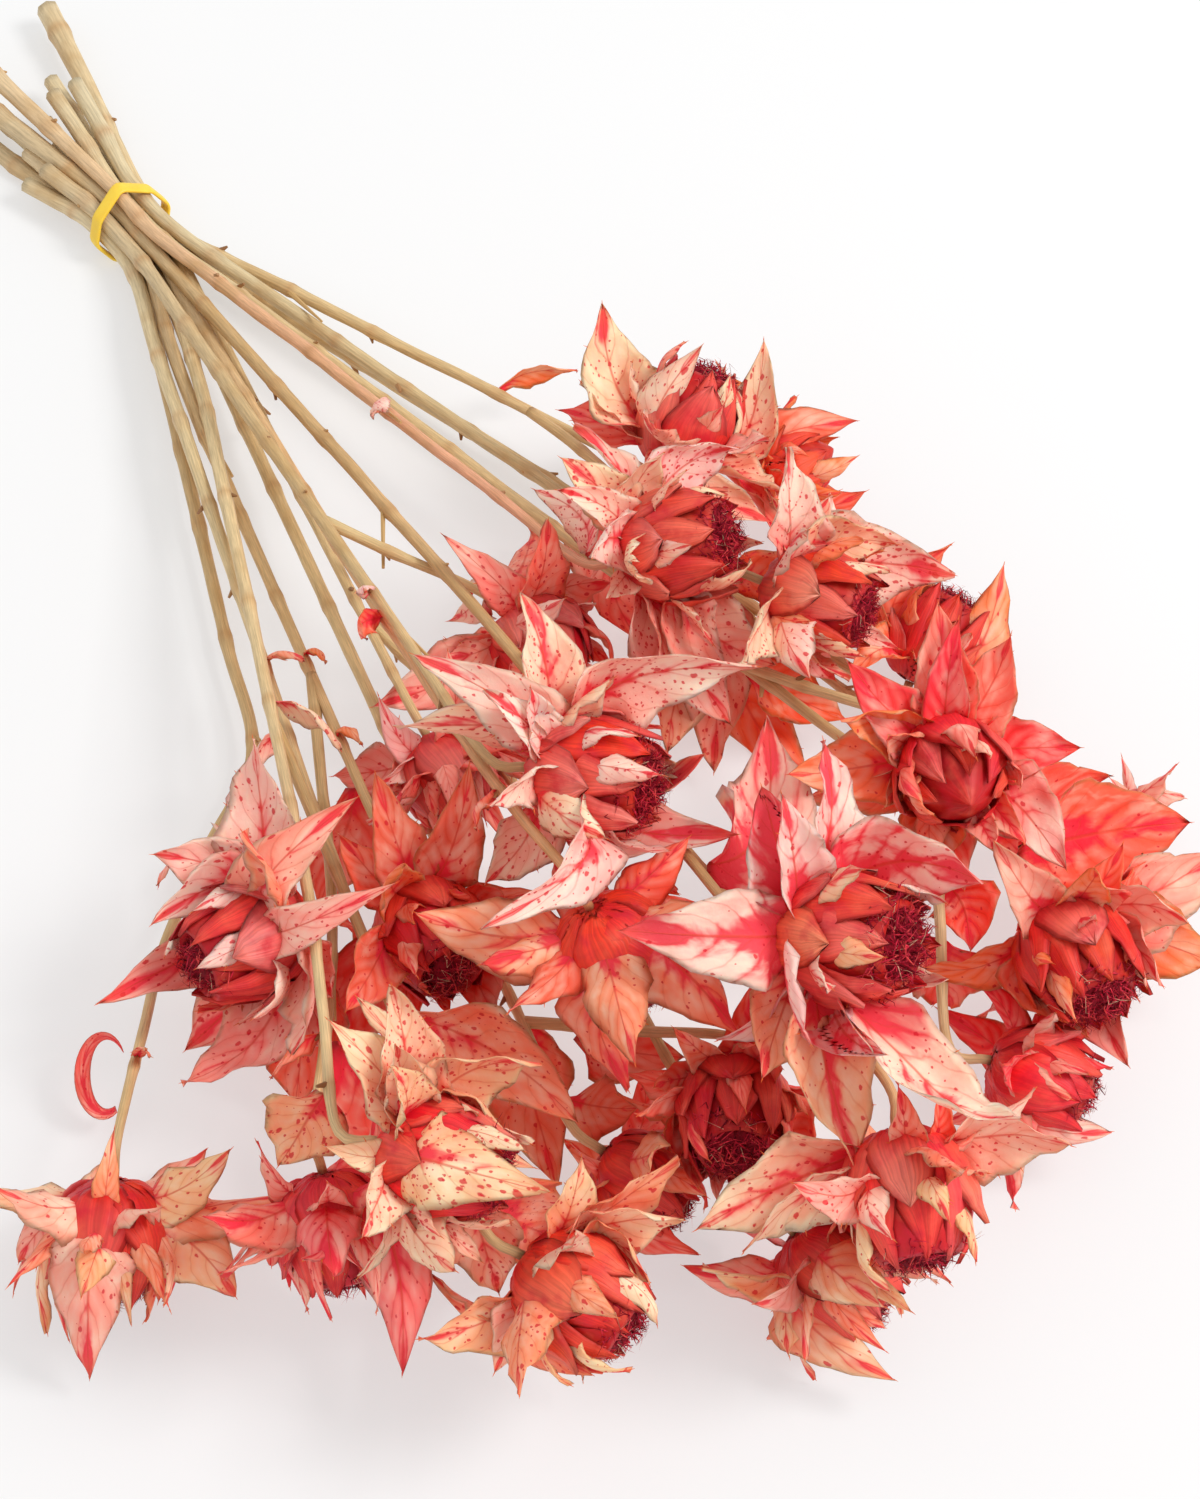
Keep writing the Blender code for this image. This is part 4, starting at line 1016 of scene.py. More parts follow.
# %% Growing the leaves
def rod_shape(runs):
    """The plain rods of one stem, in millimetres."""
    shape = bmesh.new()
    for run in runs:
        curve = bpy.data.curves.new("rod", "CURVE")
        curve.dimensions = "3D"
        curve.bevel_depth = MM
        curve.bevel_resolution = 1
        curve.use_fill_caps = True
        line = curve.splines.new("POLY")
        line.points.add(len(run.points) - 1)
        for knot, at, radius in zip(line.points, run.points, run.radii):
            knot.co = (at.x * MM, at.y * MM, at.z * MM, 1)
            knot.radius = radius
        rod = put_in_scene("rod", curve)
        bpy.context.view_layer.update()
        graph = bpy.context.evaluated_depsgraph_get()
        mesh = bpy.data.meshes.new_from_object(rod.evaluated_get(graph))
        bpy.data.objects.remove(rod, do_unlink=True)
        shape.from_mesh(mesh)
        bpy.data.meshes.remove(mesh)
    bmesh.ops.remove_doubles(shape, verts=shape.verts[:], dist=1e-6)
    bmesh.ops.triangulate(shape, faces=shape.faces[:])
    shape.transform(Matrix.Scale(1 / MM, 4))
    return shape


for number, stem in enumerate(STEMS):
    crowd.add(stem.name, rod_shape([route for route in routes if route.stem == number]))
for head in HEADS:
    crowd.add(head.name, urn_shape(head))
for head in OPEN_HEADS:
    crowd.add(head.name.replace("head", "florets"), tuft_shape(head))
grow_leaves(crowd)

# %% [markdown]
# Seen from the front, the real leaves shut nearly every gap between the heads. The last ones
# are grown for that. The view is split into small cells, the cells that leaves and urns cover
# are marked, and the gaps are what a closing of that mask adds: grown by a few cells, then
# shrunk again. Each head aims one leaf a round at the fullest gap in its reach, first a broad
# one, and a small one in the last rounds. At three places the real bunch shows the table
# between its heads, so those cells count as outside.

# %% Find the gaps
CELL_PIXELS = 10
VIEW_COLUMNS, VIEW_ROWS = PHOTO_WIDTH // CELL_PIXELS, PHOTO_HEIGHT // CELL_PIXELS
CLOSING = 6
GAP_ROUNDS = 8
BROAD_ROUNDS = 5
GAP_TRIES = 26
LEAST_COVERED = 1.5
STICKING_OUT = 1.0
OVERLAID = 0.04
GAP_LEAF_BREADTH = 1.08
LONE_HEADS = ("head_10", "head_24")
# top and bottom row, left and right column of each place that stays open
TABLE_SHOWS = ((100, 109, 8, 18), (109, 132, 12, 28), (124, 132, 60, 70))
NEAREST_GAP, FARTHEST_GAP = 3, 24
BROAD_GAP_LEAF, SMALL_GAP_LEAF = (50.0, 34.0), (28.0, 20.0)
FROM_STEM = 0.6
MOST_OWN_CROSSINGS = 6
SAMPLES = 10
VIEW_FROM = np.array(AIM + OUT * CAMERA_DISTANCE)
corners = [(i, j, SAMPLES - i - j) for i in range(SAMPLES + 1) for j in range(SAMPLES + 1 - i)]
CORNER_SHARES = np.array(corners) / SAMPLES


def cells_of(points):
    """Rows and columns of the view's cells that points fall in."""
    away = np.asarray(points) - VIEW_FROM
    depth = -(away @ np.array(OUT))
    right = PHOTO_WIDTH / 2 + FOCAL_PIXELS * (away @ np.array(RIGHT)) / depth
    down = PHOTO_HEIGHT / 2 - FOCAL_PIXELS * (away @ np.array(UP)) / depth
    return (down // CELL_PIXELS).astype(int), (right // CELL_PIXELS).astype(int)


def cells_under(triangles):
    """Rows and columns of the cells that triangles cover."""
    return cells_of(np.einsum("sk,nkc->nsc", CORNER_SHARES, triangles).reshape(-1, 3))


def point_at(row, column, height):
    """The point at a height above the table that a cell of the view shows."""
    right = (column * CELL_PIXELS + CELL_PIXELS // 2 - PHOTO_WIDTH / 2) / FOCAL_PIXELS
    up = (PHOTO_HEIGHT / 2 - row * CELL_PIXELS - CELL_PIXELS // 2) / FOCAL_PIXELS
    way = RIGHT * right + UP * up - OUT
    start = Vector(VIEW_FROM)
    return start + way * ((height - start.z) / way.z)


def spread_out(mask, steps):
    """Grow a mask by a number of cells."""
    for _ in range(steps):
        grown_mask = mask.copy()
        grown_mask[1:] |= mask[:-1]
        grown_mask[:-1] |= mask[1:]
        grown_mask[:, 1:] |= mask[:, :-1]
        grown_mask[:, :-1] |= mask[:, 1:]
        mask = grown_mask
    return mask


def open_cells(crowd):
    """Cells of the cluster's closed outline, and those that only stems and table fill."""
    rows, columns = cells_under(np.concatenate(
        [part for part, node in zip(crowd.triangles, crowd.nodes) if not node.startswith("stem")]))
    mask = np.zeros((VIEW_ROWS, VIEW_COLUMNS), bool)
    inside = (rows >= 0) & (rows < VIEW_ROWS) & (columns >= 0) & (columns < VIEW_COLUMNS)
    mask[rows[inside], columns[inside]] = True
    closed = ~spread_out(~spread_out(mask, CLOSING), CLOSING)
    for top, bottom, left, right in TABLE_SHOWS:
        closed[top:bottom, left:right] = False
    return closed, closed & ~mask


def fullest_gap(holes, head):
    """The open cell with the most open ones round it, among those a head's leaf can reach."""
    row, column = (int(value[0]) for value in cells_of([head_base(head)]))
    best, best_score = None, 3
    for r, c in np.argwhere(holes):
        distance = hypot(r - row, c - column)
        if NEAREST_GAP < distance < FARTHEST_GAP:
            score = holes[max(r - 2, 0):r + 3, max(c - 2, 0):c + 3].sum() - 0.4 * distance
            if score > best_score:
                best, best_score = (int(r), int(c)), score
    return best


def neck_place(head, back):
    """A point of the head's own stem some way below the urn, and the stem's way there."""
    route = next(route for route in routes if route.head == head.name)
    for near, far in zip(route.points[::-1], route.points[-2::-1]):
        run = (near - far).length
        if back <= run:
            return near.lerp(far, back / run), (near - far).normalized()
        back -= run
    return route.points[0], (route.points[1] - route.points[0]).normalized()


def gap_leaf(head, row, column, sizes, draw):
    """A leaf, from under a head or from its stem, whose middle lies over an open cell."""
    longest, broad_from = sizes
    from_stem = draw.random() < FROM_STEM
    start = head_base(head)
    if from_stem:
        start, axis = neck_place(head, draw.uniform(8, 80))
    aim = point_at(row + draw.uniform(-1, 1), column + draw.uniform(-1, 1),
                   start.z * draw.uniform(0.1, 0.85) + 2)
    reach = aim - start
    length = min(1.35 * reach.length, longest)
    tip = start + reach.normalized() * length
    look = leaf_look(GAP_LEAF_BREADTH * max(length, broad_from), draw)
    if not from_stem:
        return leaf_from(head, tip, 0.1, (0.4, 0.05), look, 0.85)
    outward = across(tip - start, axis)
    root = start + outward * (NECK_RADIUS + 2 * LEAF_CLEARANCE + 0.5 * BLADE_THICK)
    knee = root + outward * (0.4 * length) + axis * (0.1 * length)
    return faced_leaf(root, knee, tip, outward, axis, look, 0.85)


def settle_over_gap(crowd, head, closed, holes, row, column, sizes, draw):
    """Of many leaves aimed at a gap, the clear one that covers most and sticks out least."""
    best, most = None, LEAST_COVERED
    for _ in range(GAP_TRIES):
        leaf = gap_leaf(head, row, column, sizes, draw)
        leaf.tip.z = max(leaf.tip.z, 0.5 * BLADE_THICK)
        if crowd.blocks(head.name, leaf):
            continue
        shape = blade_shape(leaf, SHORT_STATIONS)
        rows, columns = cells_under(triangles_of(shape))
        rows, columns = np.clip(rows, 0, VIEW_ROWS - 1), np.clip(columns, 0, VIEW_COLUMNS - 1)
        cells = set(zip(rows.tolist(), columns.tolist()))
        covered = sum(bool(holes[cell]) for cell in cells)
        covered -= STICKING_OUT * sum(not closed[cell] for cell in cells)
        covered -= OVERLAID * sum(bool(closed[cell] and not holes[cell]) for cell in cells)
        covered -= 0.5 * min(MOST_OWN_CROSSINGS, crowd.crossings(head.name, shape, own=True))
        if covered > most:
            best, most = (leaf, cells), covered
        shape.free()
    return best


def fill_gaps(crowd):
    """Rounds of leaves over the gaps; a gap that no leaf can cover is passed by."""
    draw = random.Random(5)
    for turn in range(GAP_ROUNDS):
        closed, holes = open_cells(crowd)
        open_count, added = int(holes.sum()), 0
        sizes = BROAD_GAP_LEAF if turn < BROAD_ROUNDS else SMALL_GAP_LEAF
        for head in draw.sample(HEADS, len(HEADS)):
            gap = None if head.name in LONE_HEADS else fullest_gap(holes, head)
            found = gap and settle_over_gap(crowd, head, closed, holes, *gap, sizes, draw)
            if found:
                leaf, cells = found
                crowd.add(head.name, blade_shape(leaf, SHORT_STATIONS), is_leaf=True)
                grown[head.name].append((leaf, len(LEAF_LAYERS)))
                added += 1
                for cell in cells:
                    holes[cell] = False
            elif gap:
                row, column = gap
                holes[max(row - 1, 0):row + 2, max(column - 1, 0):column + 2] = False
        print("gap round", turn, "open cells", open_count, "leaves added", added)


fill_gaps(crowd)
print("open cells left", int(open_cells(crowd)[1].sum()))
tips = [(round(leaf.tip.z, 1), name, layer) for name in grown for leaf, layer in grown[name]]
print("highest leaf tips", sorted(tips)[-4:])

# %% [markdown]
# Leaves low in the bunch take painted shade: where little sky reaches them, their colour is
# mixed towards a deep red, which stands in for the light that comes through dyed leaves above.
# Rays are sent from three places of each leaf up past the crowd, and the share that gets away
# says how little of that painted shade the leaf takes there.

# %% Daylight on the leaves, for their painted shade
SKY_RAYS = 20
SKY_START = 3.0
GOLDEN_ANGLE = 2.39996
LIGHT_PLACES = (0.2, 0.55, 0.9)
sky = []
for k in range(SKY_RAYS):
    rise = 0.12 + 0.86 * (k + 0.5) / SKY_RAYS
    clock = k * GOLDEN_ANGLE
    sky.append(Vector((cos(clock) * sqrt(1 - rise * rise),
                       sin(clock) * sqrt(1 - rise * rise), rise)))


def search_tree(parts):
    """One search tree for the triangles of many pieces."""
    corners = np.concatenate(parts).reshape(-1, 3)
    return BVHTree.FromPolygons(corners.tolist(),
                                np.arange(len(corners)).reshape(-1, 3).tolist())


everything = search_tree(crowd.triangles)
all_leaves = search_tree(
    [part for part, leafy in zip(crowd.triangles, crowd.leafy) if leafy])


def daylight(place):
    """Share of the sky's rays that reach a place past every leaf, urn and stem."""
    free = sum(everything.ray_cast(place + way * SKY_START, way)[0] is None for way in sky)
    return free / SKY_RAYS


def leaf_light(leaf):
    """Daylight near the root, the middle and the tip of a leaf."""
    return [daylight(midrib(leaf, t) + Vector((0, 0, 1.0))) for t in LIGHT_PLACES]


lights = [leaf_light(leaf)[1] for name in grown for leaf, _ in grown[name]]
print("daylight in the middle of leaves, mean", round(sum(lights) / len(lights), 2))

# %% [markdown]
# One helper makes nearly every surface here. A flat grid comes from bmesh, and a rule moves
# each of its points to its place: across gives the first direction and along the second. A
# leaf is such a grid, bent. A stem or a thread is one too, rolled up and welded at its seam.

# %% A grid that a rule shapes
SHEET = "sheet"
FLAT = "flat"


def open_piece():
    """An empty mesh with two UV maps, a colour for the dye with any painted shade in it, and a
    colour for marks.
    """
    piece = bmesh.new()
    piece.loops.layers.uv.new(SHEET)
    piece.loops.layers.uv.new(FLAT)
    piece.verts.layers.float_color.new("tint")
    piece.verts.layers.float_color.new("marks")
    return piece


def shaped_grid(piece, columns, rows, place_of, tint_of, marks=(0, 0, 0), weld=0.0, finish=0,
                flat_of=None):
    """Add a grid to a piece; the rules take shares across and along, from 0 to 1.

    Both faces of a folded sheet are split along the same diagonals, so neither pokes out.
    """
    uv, flat = piece.loops.layers.uv[SHEET], piece.loops.layers.uv[FLAT]
    tint, mark = (piece.verts.layers.float_color[name] for name in ("tint", "marks"))
    made = bmesh.ops.create_grid(piece, x_segments=columns, y_segments=rows, size=0.5)["verts"]
    faces = {face for vert in made for face in vert.link_faces}
    shares = {vert: (vert.co.x + 0.5, vert.co.y + 0.5) for vert in made}
    back = [face for face in faces if sum(shares[vert][0] for vert in face.verts) > 2]
    for face in faces:
        face.material_index = finish
        face.smooth = True
        for loop in face.loops:
            u, v = shares[loop.vert]
            loop[uv].uv = (u, v)
            if flat_of:
                loop[uv].uv = (fold_back(u)[0], v)
                loop[flat].uv = flat_of(fold_back(u)[0], v)
    for vert, (u, v) in shares.items():
        vert.co = place_of(u, v)
        vert[tint] = (*tint_of(u, v), 1.0)
        vert[mark] = (*marks, 1.0)
    if flat_of:
        front = list(faces.difference(back))
        faces = set(bmesh.ops.triangulate(piece, faces=front, quad_method="FIXED")["faces"])
        faces.update(bmesh.ops.triangulate(piece, faces=back, quad_method="ALTERNATE")["faces"])
    if weld:
        bmesh.ops.remove_doubles(piece, verts=made, dist=weld)
        faces = {face for face in faces if face.is_valid}
    return faces


def fold_back(u):
    """A grid that goes across a sheet and back below it: share across and side, 1 or -1."""
    return (2 * u, 1) if u <= 0.5 else (2 - 2 * u, -1)


def sheet_side(u, v, thick):
    """How far a folded sheet's surface lies from its middle: nothing at margins and root."""
    across_share, side = fold_back(u)
    margin = abs(2 * across_share - 1)
    return 0.5 * side * thick * (1 - margin ** 4) * min(1.0, 8 * v)


def cone(piece, middle, way, length, sides, radii, tint, lowest):
    """Add a thin tinted cone round a middle point, which stays above the table."""
    turn = way.to_track_quat("Z", "Y").to_matrix().to_4x4()
    made = bmesh.ops.create_cone(
        piece, cap_ends=True, segments=sides, radius1=radii[0], radius2=radii[1],
        depth=length, matrix=Matrix.Translation(middle) @ turn)["verts"]
    layer = piece.verts.layers.float_color["tint"]
    for vert in made:
        vert[layer] = (*tint, 1.0)
        vert.co.z = max(vert.co.z, lowest)


def close_piece(piece, name, node, finishes):
    """Make the object that stands for a node of the solid model, and count its triangles."""
    bmesh.ops.recalc_face_normals(piece, faces=piece.faces[:])
    piece.transform(TO_MODEL)
    mesh = bpy.data.meshes.new(name)
    piece.to_mesh(mesh)
    piece.free()
    for finish in finishes:
        mesh.materials.append(finish)
    dressed = put_in_scene(name, mesh)
    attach(dressed, "root")
    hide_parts(node)
    return sum(len(face.vertices) - 2 for face in mesh.polygons)


# %% [markdown]
# Colours are written as they look on a screen, as hex values, and one function turns them to
# the linear numbers that the renderer wants. One more adds a node, sets it and wires it.

# %% Colours and nodes
def linear(code):
    """Linear red, green and blue of an sRGB hex value."""
    parts = [int(code[k:k + 2], 16) / 255 for k in (0, 2, 4)]
    return tuple(part / 12.92 if part <= 0.04045 else ((part + 0.055) / 1.055) ** 2.4
                 for part in parts)


def mixed(first, second, share):
    return tuple(a + (b - a) * share for a, b in zip(first, second))


def wire(node, inputs):
    """Set sockets, in order or by name or number, to links, values or colours in hex."""
    for socket, value in inputs.items() if isinstance(inputs, dict) else enumerate(inputs):
        if isinstance(value, bpy.types.NodeSocket):
            node.id_data.links.new(value, node.inputs[socket])
        elif isinstance(value, str):
            node.inputs[socket].default_value = (*linear(value), 1)
        else:
            node.inputs[socket].default_value = value


def add_node(tree, kind, inputs=(), **settings):
    """Add a node, set its properties, wire it, and give back its first result in use.

    The other results are reached through the node of that one.
    """
    made = tree.nodes.new("ShaderNode" + kind)
    for name, value in settings.items():
        setattr(made, name, value)
    wire(made, inputs)
    return next(result for result in made.outputs if result.enabled)


def new_finish(name):
    """A material, its Principled shader, and the function that adds nodes to it."""
    finish = bpy.data.materials.new(name)
    finish.use_nodes = True
    tree = finish.node_tree
    return finish, tree.nodes["Principled BSDF"], partial(add_node, tree)


MULTIPLY = {"data_type": "RGBA", "blend_type": "MULTIPLY"}
print("cream in linear numbers:", [round(value, 3) for value in linear("F0CDAE")])

# %% [markdown]
# The dyed outer bract is a dry leaf, thin as paper. The dye has soaked in unevenly: it is
# washed out on the blade, gathers along the ribs and at the base in watery blotches, and
# stands as crimson dots where it dried in drops. The margin is a thin orange line. The dye's
# ground colour is drawn for each leaf, deepened to red by painted shade where little daylight
# reaches it, and comes as an attribute, with three marks: how many dots, how much wash, and
# how orange the margin is. The veins follow the leaf's own UV map, and the patterns a second
# one, which lays the leaf out flat in centimetres.

# %% Dyed dry leaf
GROUND_PATCH = 1.1
BLOTCH = 0.9
MOTTLE = 0.34
# the real dots are 0.5 to 1.5 mm wide: pitches of 2.5 and 1.5 mm, in centimetres
DOT_PITCH = 0.25
FINE_DOT_PITCH = 0.15
PAPER_GRAIN = 0.0012
# side veins from root to tip; real ones are 0.1 mm wide, these about 0.5 mm, so that they show
SIDE_VEINS = 6.5

dry_leaf, shader, add = new_finish("dyed_dry_leaf")
split = add("SeparateXYZ", [add("UVMap", uv_map=SHEET)]).node.outputs
centred = add("Math", (split[0], 2.0, -1.0), operation="MULTIPLY_ADD")
side, along = add("Math", [centred], operation="ABSOLUTE"), split[1]
spot = add("TexCoord").node.outputs["Object"]
# the tint holds the dye's ground colour with the painted shade already mixed in
ground = add("Attribute", attribute_name="tint")
marks = add("Attribute", attribute_name="marks")
dots, wash, rim = add("SeparateColor", [marks]).node.outputs[:3]

# uneven ground, which runs along the leaf: deeper patches, then small mottles
flat = add("UVMap", uv_map=FLAT)
drawn = add("Mapping", {"Vector": flat, "Scale": (1.0, 0.5, 1.0)})
patch = add("TexNoise", {"Vector": drawn, "Scale": 1 / GROUND_PATCH, "Detail": 3.0,
                         "Distortion": 0.4})
mottle = add("TexNoise", {"Vector": drawn, "Scale": 1 / MOTTLE, "Detail": 2.0,
                          "Roughness": 0.5, "Distortion": 0.3})
colour = ground
for pattern, palest, deepest in ((patch, 1.22, 0.72), (mottle, 1.12, 0.86)):
    tone = add("MapRange", (pattern, 0.3, 0.7, palest, deepest))
    tone_colour = add("CombineColor", (1.0, tone, tone))
    colour = add("Mix", {0: 1.0, 6: colour, 7: tone_colour}, **MULTIPLY)

# patches where the dye hardly took, and the blade between the side veins, which took less
taken = add("Math", (patch, mottle), operation="ADD")
washed_out = add("MapRange", (taken, 1.02, 0.68, 0.0, 0.46))
colour = add("Mix", {0: washed_out, 6: colour, 7: "FFDCC4"}, data_type="RGBA")
slant = add("Math", (side, -2.0, 0.0), operation="MULTIPLY_ADD")
run = add("Math", (along, SIDE_VEINS, slant), operation="MULTIPLY_ADD")
shaken = add("Math", (patch, 1.4, run), operation="MULTIPLY_ADD")
from_vein = add("Math", (shaken, 0.5), operation="PINGPONG")
between = add("MapRange", (from_vein, 0.08, 0.5, 0.0, 0.17))
on_blade = add("MapRange", (side, 0.85, 0.4, 0.0, 1.0))
between = add("Math", (between, on_blade), operation="MULTIPLY")
colour = add("Mix", {0: between, 6: colour, 7: "FFE6D2"}, data_type="RGBA")

# the wash: blotches that gather along the midrib, at the base, at the tip and at the veins
pooled = add("TexNoise", {"Vector": drawn, "Scale": 1 / BLOTCH, "Detail": 4.0,
                          "Roughness": 0.55, "Distortion": 0.6})
for where, *span in ((side, 0.0, 0.55, 0.22, 0.0), (along, 0.05, 0.5, 0.30, 0.0),
                     (along, 0.72, 1.0, 0.0, 0.22), (from_vein, 0.0, 0.22, 0.09, 0.0)):
    gathered = add("MapRange", (where, *span))
    pooled = add("Math", (pooled, gathered), operation="ADD")
least = add("Math", (wash, -0.22, 0.78), operation="MULTIPLY_ADD")
most = add("Math", (least, 0.2), operation="ADD")
soaked = add("MapRange", (pooled, least, most, 0.0, 0.92), interpolation_type="SMOOTHSTEP")
colour = add("Mix", {0: soaked, 6: colour, 7: "EE2A44"}, data_type="RGBA")

# the veins as lines: the side veins, and the midrib, which is wider
vein = add("MapRange", (from_vein, 0.0, 0.075, 0.6, 0.0))
rib = add("MapRange", (side, 0.012, 0.045, 1.3, 0.0))
net = add("Math", (vein, rib), operation="MAXIMUM")
net_weight = add("Math", (net, 0.5), operation="MULTIPLY")
colour = add("Mix", {0: net_weight, 6: colour, 7: "D84A34"}, data_type="RGBA")

# dots of dye: each cell of a pattern in the leaf's own plane may hold one, of its own size
wobble = add("TexNoise", {"Vector": flat, "Scale": 14.0, "Detail": 1.0})
pushed = add("VectorMath", (wobble.node.outputs["Color"], (0.05, 0.05, 0.0), flat),
             operation="MULTIPLY_ADD")
for pitch, widest, dash in ((DOT_PITCH, 0.25, 0.7), (FINE_DOT_PITCH, 0.26, 0.85)):
    dashes = add("Mapping", {"Vector": pushed, "Scale": (1.0, dash, 1.0)})
    distance = add("TexVoronoi", {"Vector": dashes, "Scale": 1 / pitch}, voronoi_dimensions="2D")
    chance = add("SeparateColor", [distance.node.outputs["Color"]]).node.outputs
    bar = add("Math", (dots, -0.62, 1.0), operation="MULTIPLY_ADD")
    held = add("Math", (chance[0], bar), operation="GREATER_THAN")
    reach = add("MapRange", (chance[1], 0.0, 1.0, 0.09, widest))
    inside = add("Math", (reach, distance), operation="SUBTRACT")
    dot = add("MapRange", (inside, 0.0, 0.07, 0.0, 0.82))
    dot = add("Math", (dot, held), operation="MULTIPLY")
    colour = add("Mix", {0: dot, 6: colour, 7: "D41E30"}, data_type="RGBA")

# the margin, dry and orange
edge = add("MapRange", (side, 0.90, 1.0, 0.0, 0.8))
dry_tip = add("MapRange", (along, 0.86, 1.0, 0.0, 0.6))
edge = add("Math", (edge, dry_tip), operation="MAXIMUM")
edge = add("Math", (edge, rim), operation="MULTIPLY")
colour = add("Mix", {0: edge, 6: colour, 7: "DE7434"}, data_type="RGBA")

# relief: raised veins on a faintly crumpled sheet
grain = add("TexNoise", {"Vector": spot, "Scale": 1 / PAPER_GRAIN, "Detail": 3.0})
relief = add("Math", (net, 0.6, grain), operation="MULTIPLY_ADD")
bump = add("Bump", {"Height": relief, "Strength": 0.5, "Distance": 0.0003})
wire(shader, {
    "Base Color": colour, "Normal": bump, "Roughness": 0.55, "Specular IOR Level": 0.12,
    "Subsurface Weight": 0.3, "Subsurface Radius": (1.0, 0.3, 0.2), "Subsurface Scale": 0.001})
print(len(shader.id_data.nodes), "nodes in the leaf's finish")

# %% [markdown]
# The bracts that make the urn are thicker, waxier and took much more dye. Fine fibres run
# along each one, and a painted shade darkens it towards its edges, where it slips under its
# neighbour.

# %% Waxy inner bract
FIBRES = 32.0

waxy_bract, shader, add = new_finish("waxy_dyed_bract")
sheet = add("UVMap", uv_map=SHEET)
across_sheet = add("SeparateXYZ", [sheet])
centred = add("Math", (across_sheet, 2.0, -1.0), operation="MULTIPLY_ADD")
side = add("Math", [centred], operation="ABSOLUTE")
spot = add("TexCoord").node.outputs["Object"]
ground = add("Attribute", attribute_name="tint")
stretched = add("Mapping", {"Vector": sheet, "Scale": (FIBRES, 1.6, 1.0)})
shifted = add("VectorMath", (spot, (90, 90, 90)), operation="MULTIPLY")
both = add("VectorMath", (stretched, shifted), operation="ADD")
fibre = add("TexNoise", {"Vector": both, "Scale": 0.7, "Detail": 2.0})
patch = add("TexNoise", {"Vector": spot, "Scale": 170.0, "Detail": 4.0})
tone = add("MapRange", (fibre, 0.3, 0.7, 0.76, 1.16))
tone_colour = add("CombineColor", (tone, tone, tone))
colour = add("Mix", {0: 1.0, 6: ground, 7: tone_colour}, **MULTIPLY)
# faded patches, patches steeped in dye, and painted shade on the edges, where a bract slips under
# its neighbour
for where, start, full, most, code in ((patch, 0.52, 0.75, 0.35, "FF7A58"),
                                       (patch, 0.5, 0.3, 0.7, "CC1430"),
                                       (side, 0.6, 1.0, 0.6, "B80C14")):
    share = add("MapRange", (where, start, full, 0.0, most))
    colour = add("Mix", {0: share, 6: colour, 7: code}, data_type="RGBA")
bump = add("Bump", {"Height": fibre, "Strength": 0.55, "Distance": 0.0004})
wire(shader, {
    "Base Color": colour, "Normal": bump, "Roughness": 0.46, "Specular IOR Level": 0.28,
    "Subsurface Weight": 0.1, "Subsurface Radius": (1.0, 0.3, 0.2), "Subsurface Scale": 0.0012})
print(len(shader.id_data.nodes), "nodes in the inner bract's finish")

# %% [markdown]
# The florets dried to threads, dark with dye. Each thread has its own tint, from nearly
# black maroon to crimson, and a few are pale hairs, so the finish itself is simple.

# %% Dried floret
dried_floret, shader, add = new_finish("dried_floret_thread")
spot = add("TexCoord").node.outputs["Object"]
ground = add("Attribute", attribute_name="tint")
uneven = add("TexNoise", {"Vector": spot, "Scale": 900.0, "Detail": 2.0})
tone = add("MapRange", (uneven, 0.3, 0.7, 0.6, 1.3))
tone_colour = add("CombineColor", (tone, tone, tone))
colour = add("Mix", {0: 1.0, 6: ground, 7: tone_colour}, **MULTIPLY)
wire(shader, {"Base Color": colour, "Roughness": 0.7, "Specular IOR Level": 0.15})

# %% [markdown]
# The stems are dry straw: pale, with fibres all along them and a dull shine on the ridges.
# Weather and handling left grey-green and brown stretches. The UV map of a stem counts once
# round it and along it in centimetres, so the fibres follow every bend.

# %% Dry straw stem
# real fibres are about 0.1 mm wide; 22 round a stem are 0.6 mm wide, so that they show
STEM_FIBRES = 22.0
CUT_PITH = linear("E4D2A6")

straw_stem, shader, add = new_finish("dry_straw_stem")
sheet = add("UVMap", uv_map=SHEET)
spot = add("TexCoord").node.outputs["Object"]
ground = add("Attribute", attribute_name="tint")
stretched = add("Mapping", {"Vector": sheet, "Scale": (STEM_FIBRES, 1.1, 1.0)})
fibre = add("TexNoise", {"Vector": stretched, "Scale": 1.0, "Detail": 3.0, "Roughness": 0.6})
blotch = add("TexNoise", {"Vector": spot, "Scale": 70.0, "Detail": 3.0})
tone = add("MapRange", (fibre, 0.3, 0.7, 0.74, 1.2))
tone_colour = add("CombineColor", (tone, tone, tone))
colour = add("Mix", {0: 1.0, 6: ground, 7: tone_colour}, **MULTIPLY)
weathered = add("MapRange", (blotch, 0.5, 0.72, 0.0, 0.55))
colour = add("Mix", {0: weathered, 6: colour, 7: "BE9458"}, data_type="RGBA")
bump = add("Bump", {"Height": fibre, "Strength": 0.7, "Distance": 0.0004})
wire(shader, {"Base Color": colour, "Normal": bump, "Roughness": 0.58})

# %% [markdown]
# The band is natural rubber, dyed yellow and dusted with talc: smooth, a little waxy, and
# slightly clouded. It lets a little light in, so it gets some subsurface scattering.

# %% Yellow rubber
yellow_rubber, shader, add = new_finish("yellow_natural_rubber")
spot = add("TexCoord").node.outputs["Object"]
cloud = add("TexNoise", {"Vector": spot, "Scale": 220.0, "Detail": 3.0})
clouded = add("MapRange", (cloud, 0.35, 0.7, 0.0, 0.5))
colour = add("Mix", {0: clouded, 6: "F8D344", 7: "EDBE2E"}, data_type="RGBA")
skin = add("TexNoise", {"Vector": spot, "Scale": 2500.0, "Detail": 2.0})
bump = add("Bump", {"Height": skin, "Strength": 0.2, "Distance": 0.0001})
wire(shader, {
    "Base Color": colour, "Normal": bump, "Roughness": 0.42, "Subsurface Weight": 0.15,
    "Subsurface Radius": (1.0, 0.7, 0.2), "Subsurface Scale": 0.001})

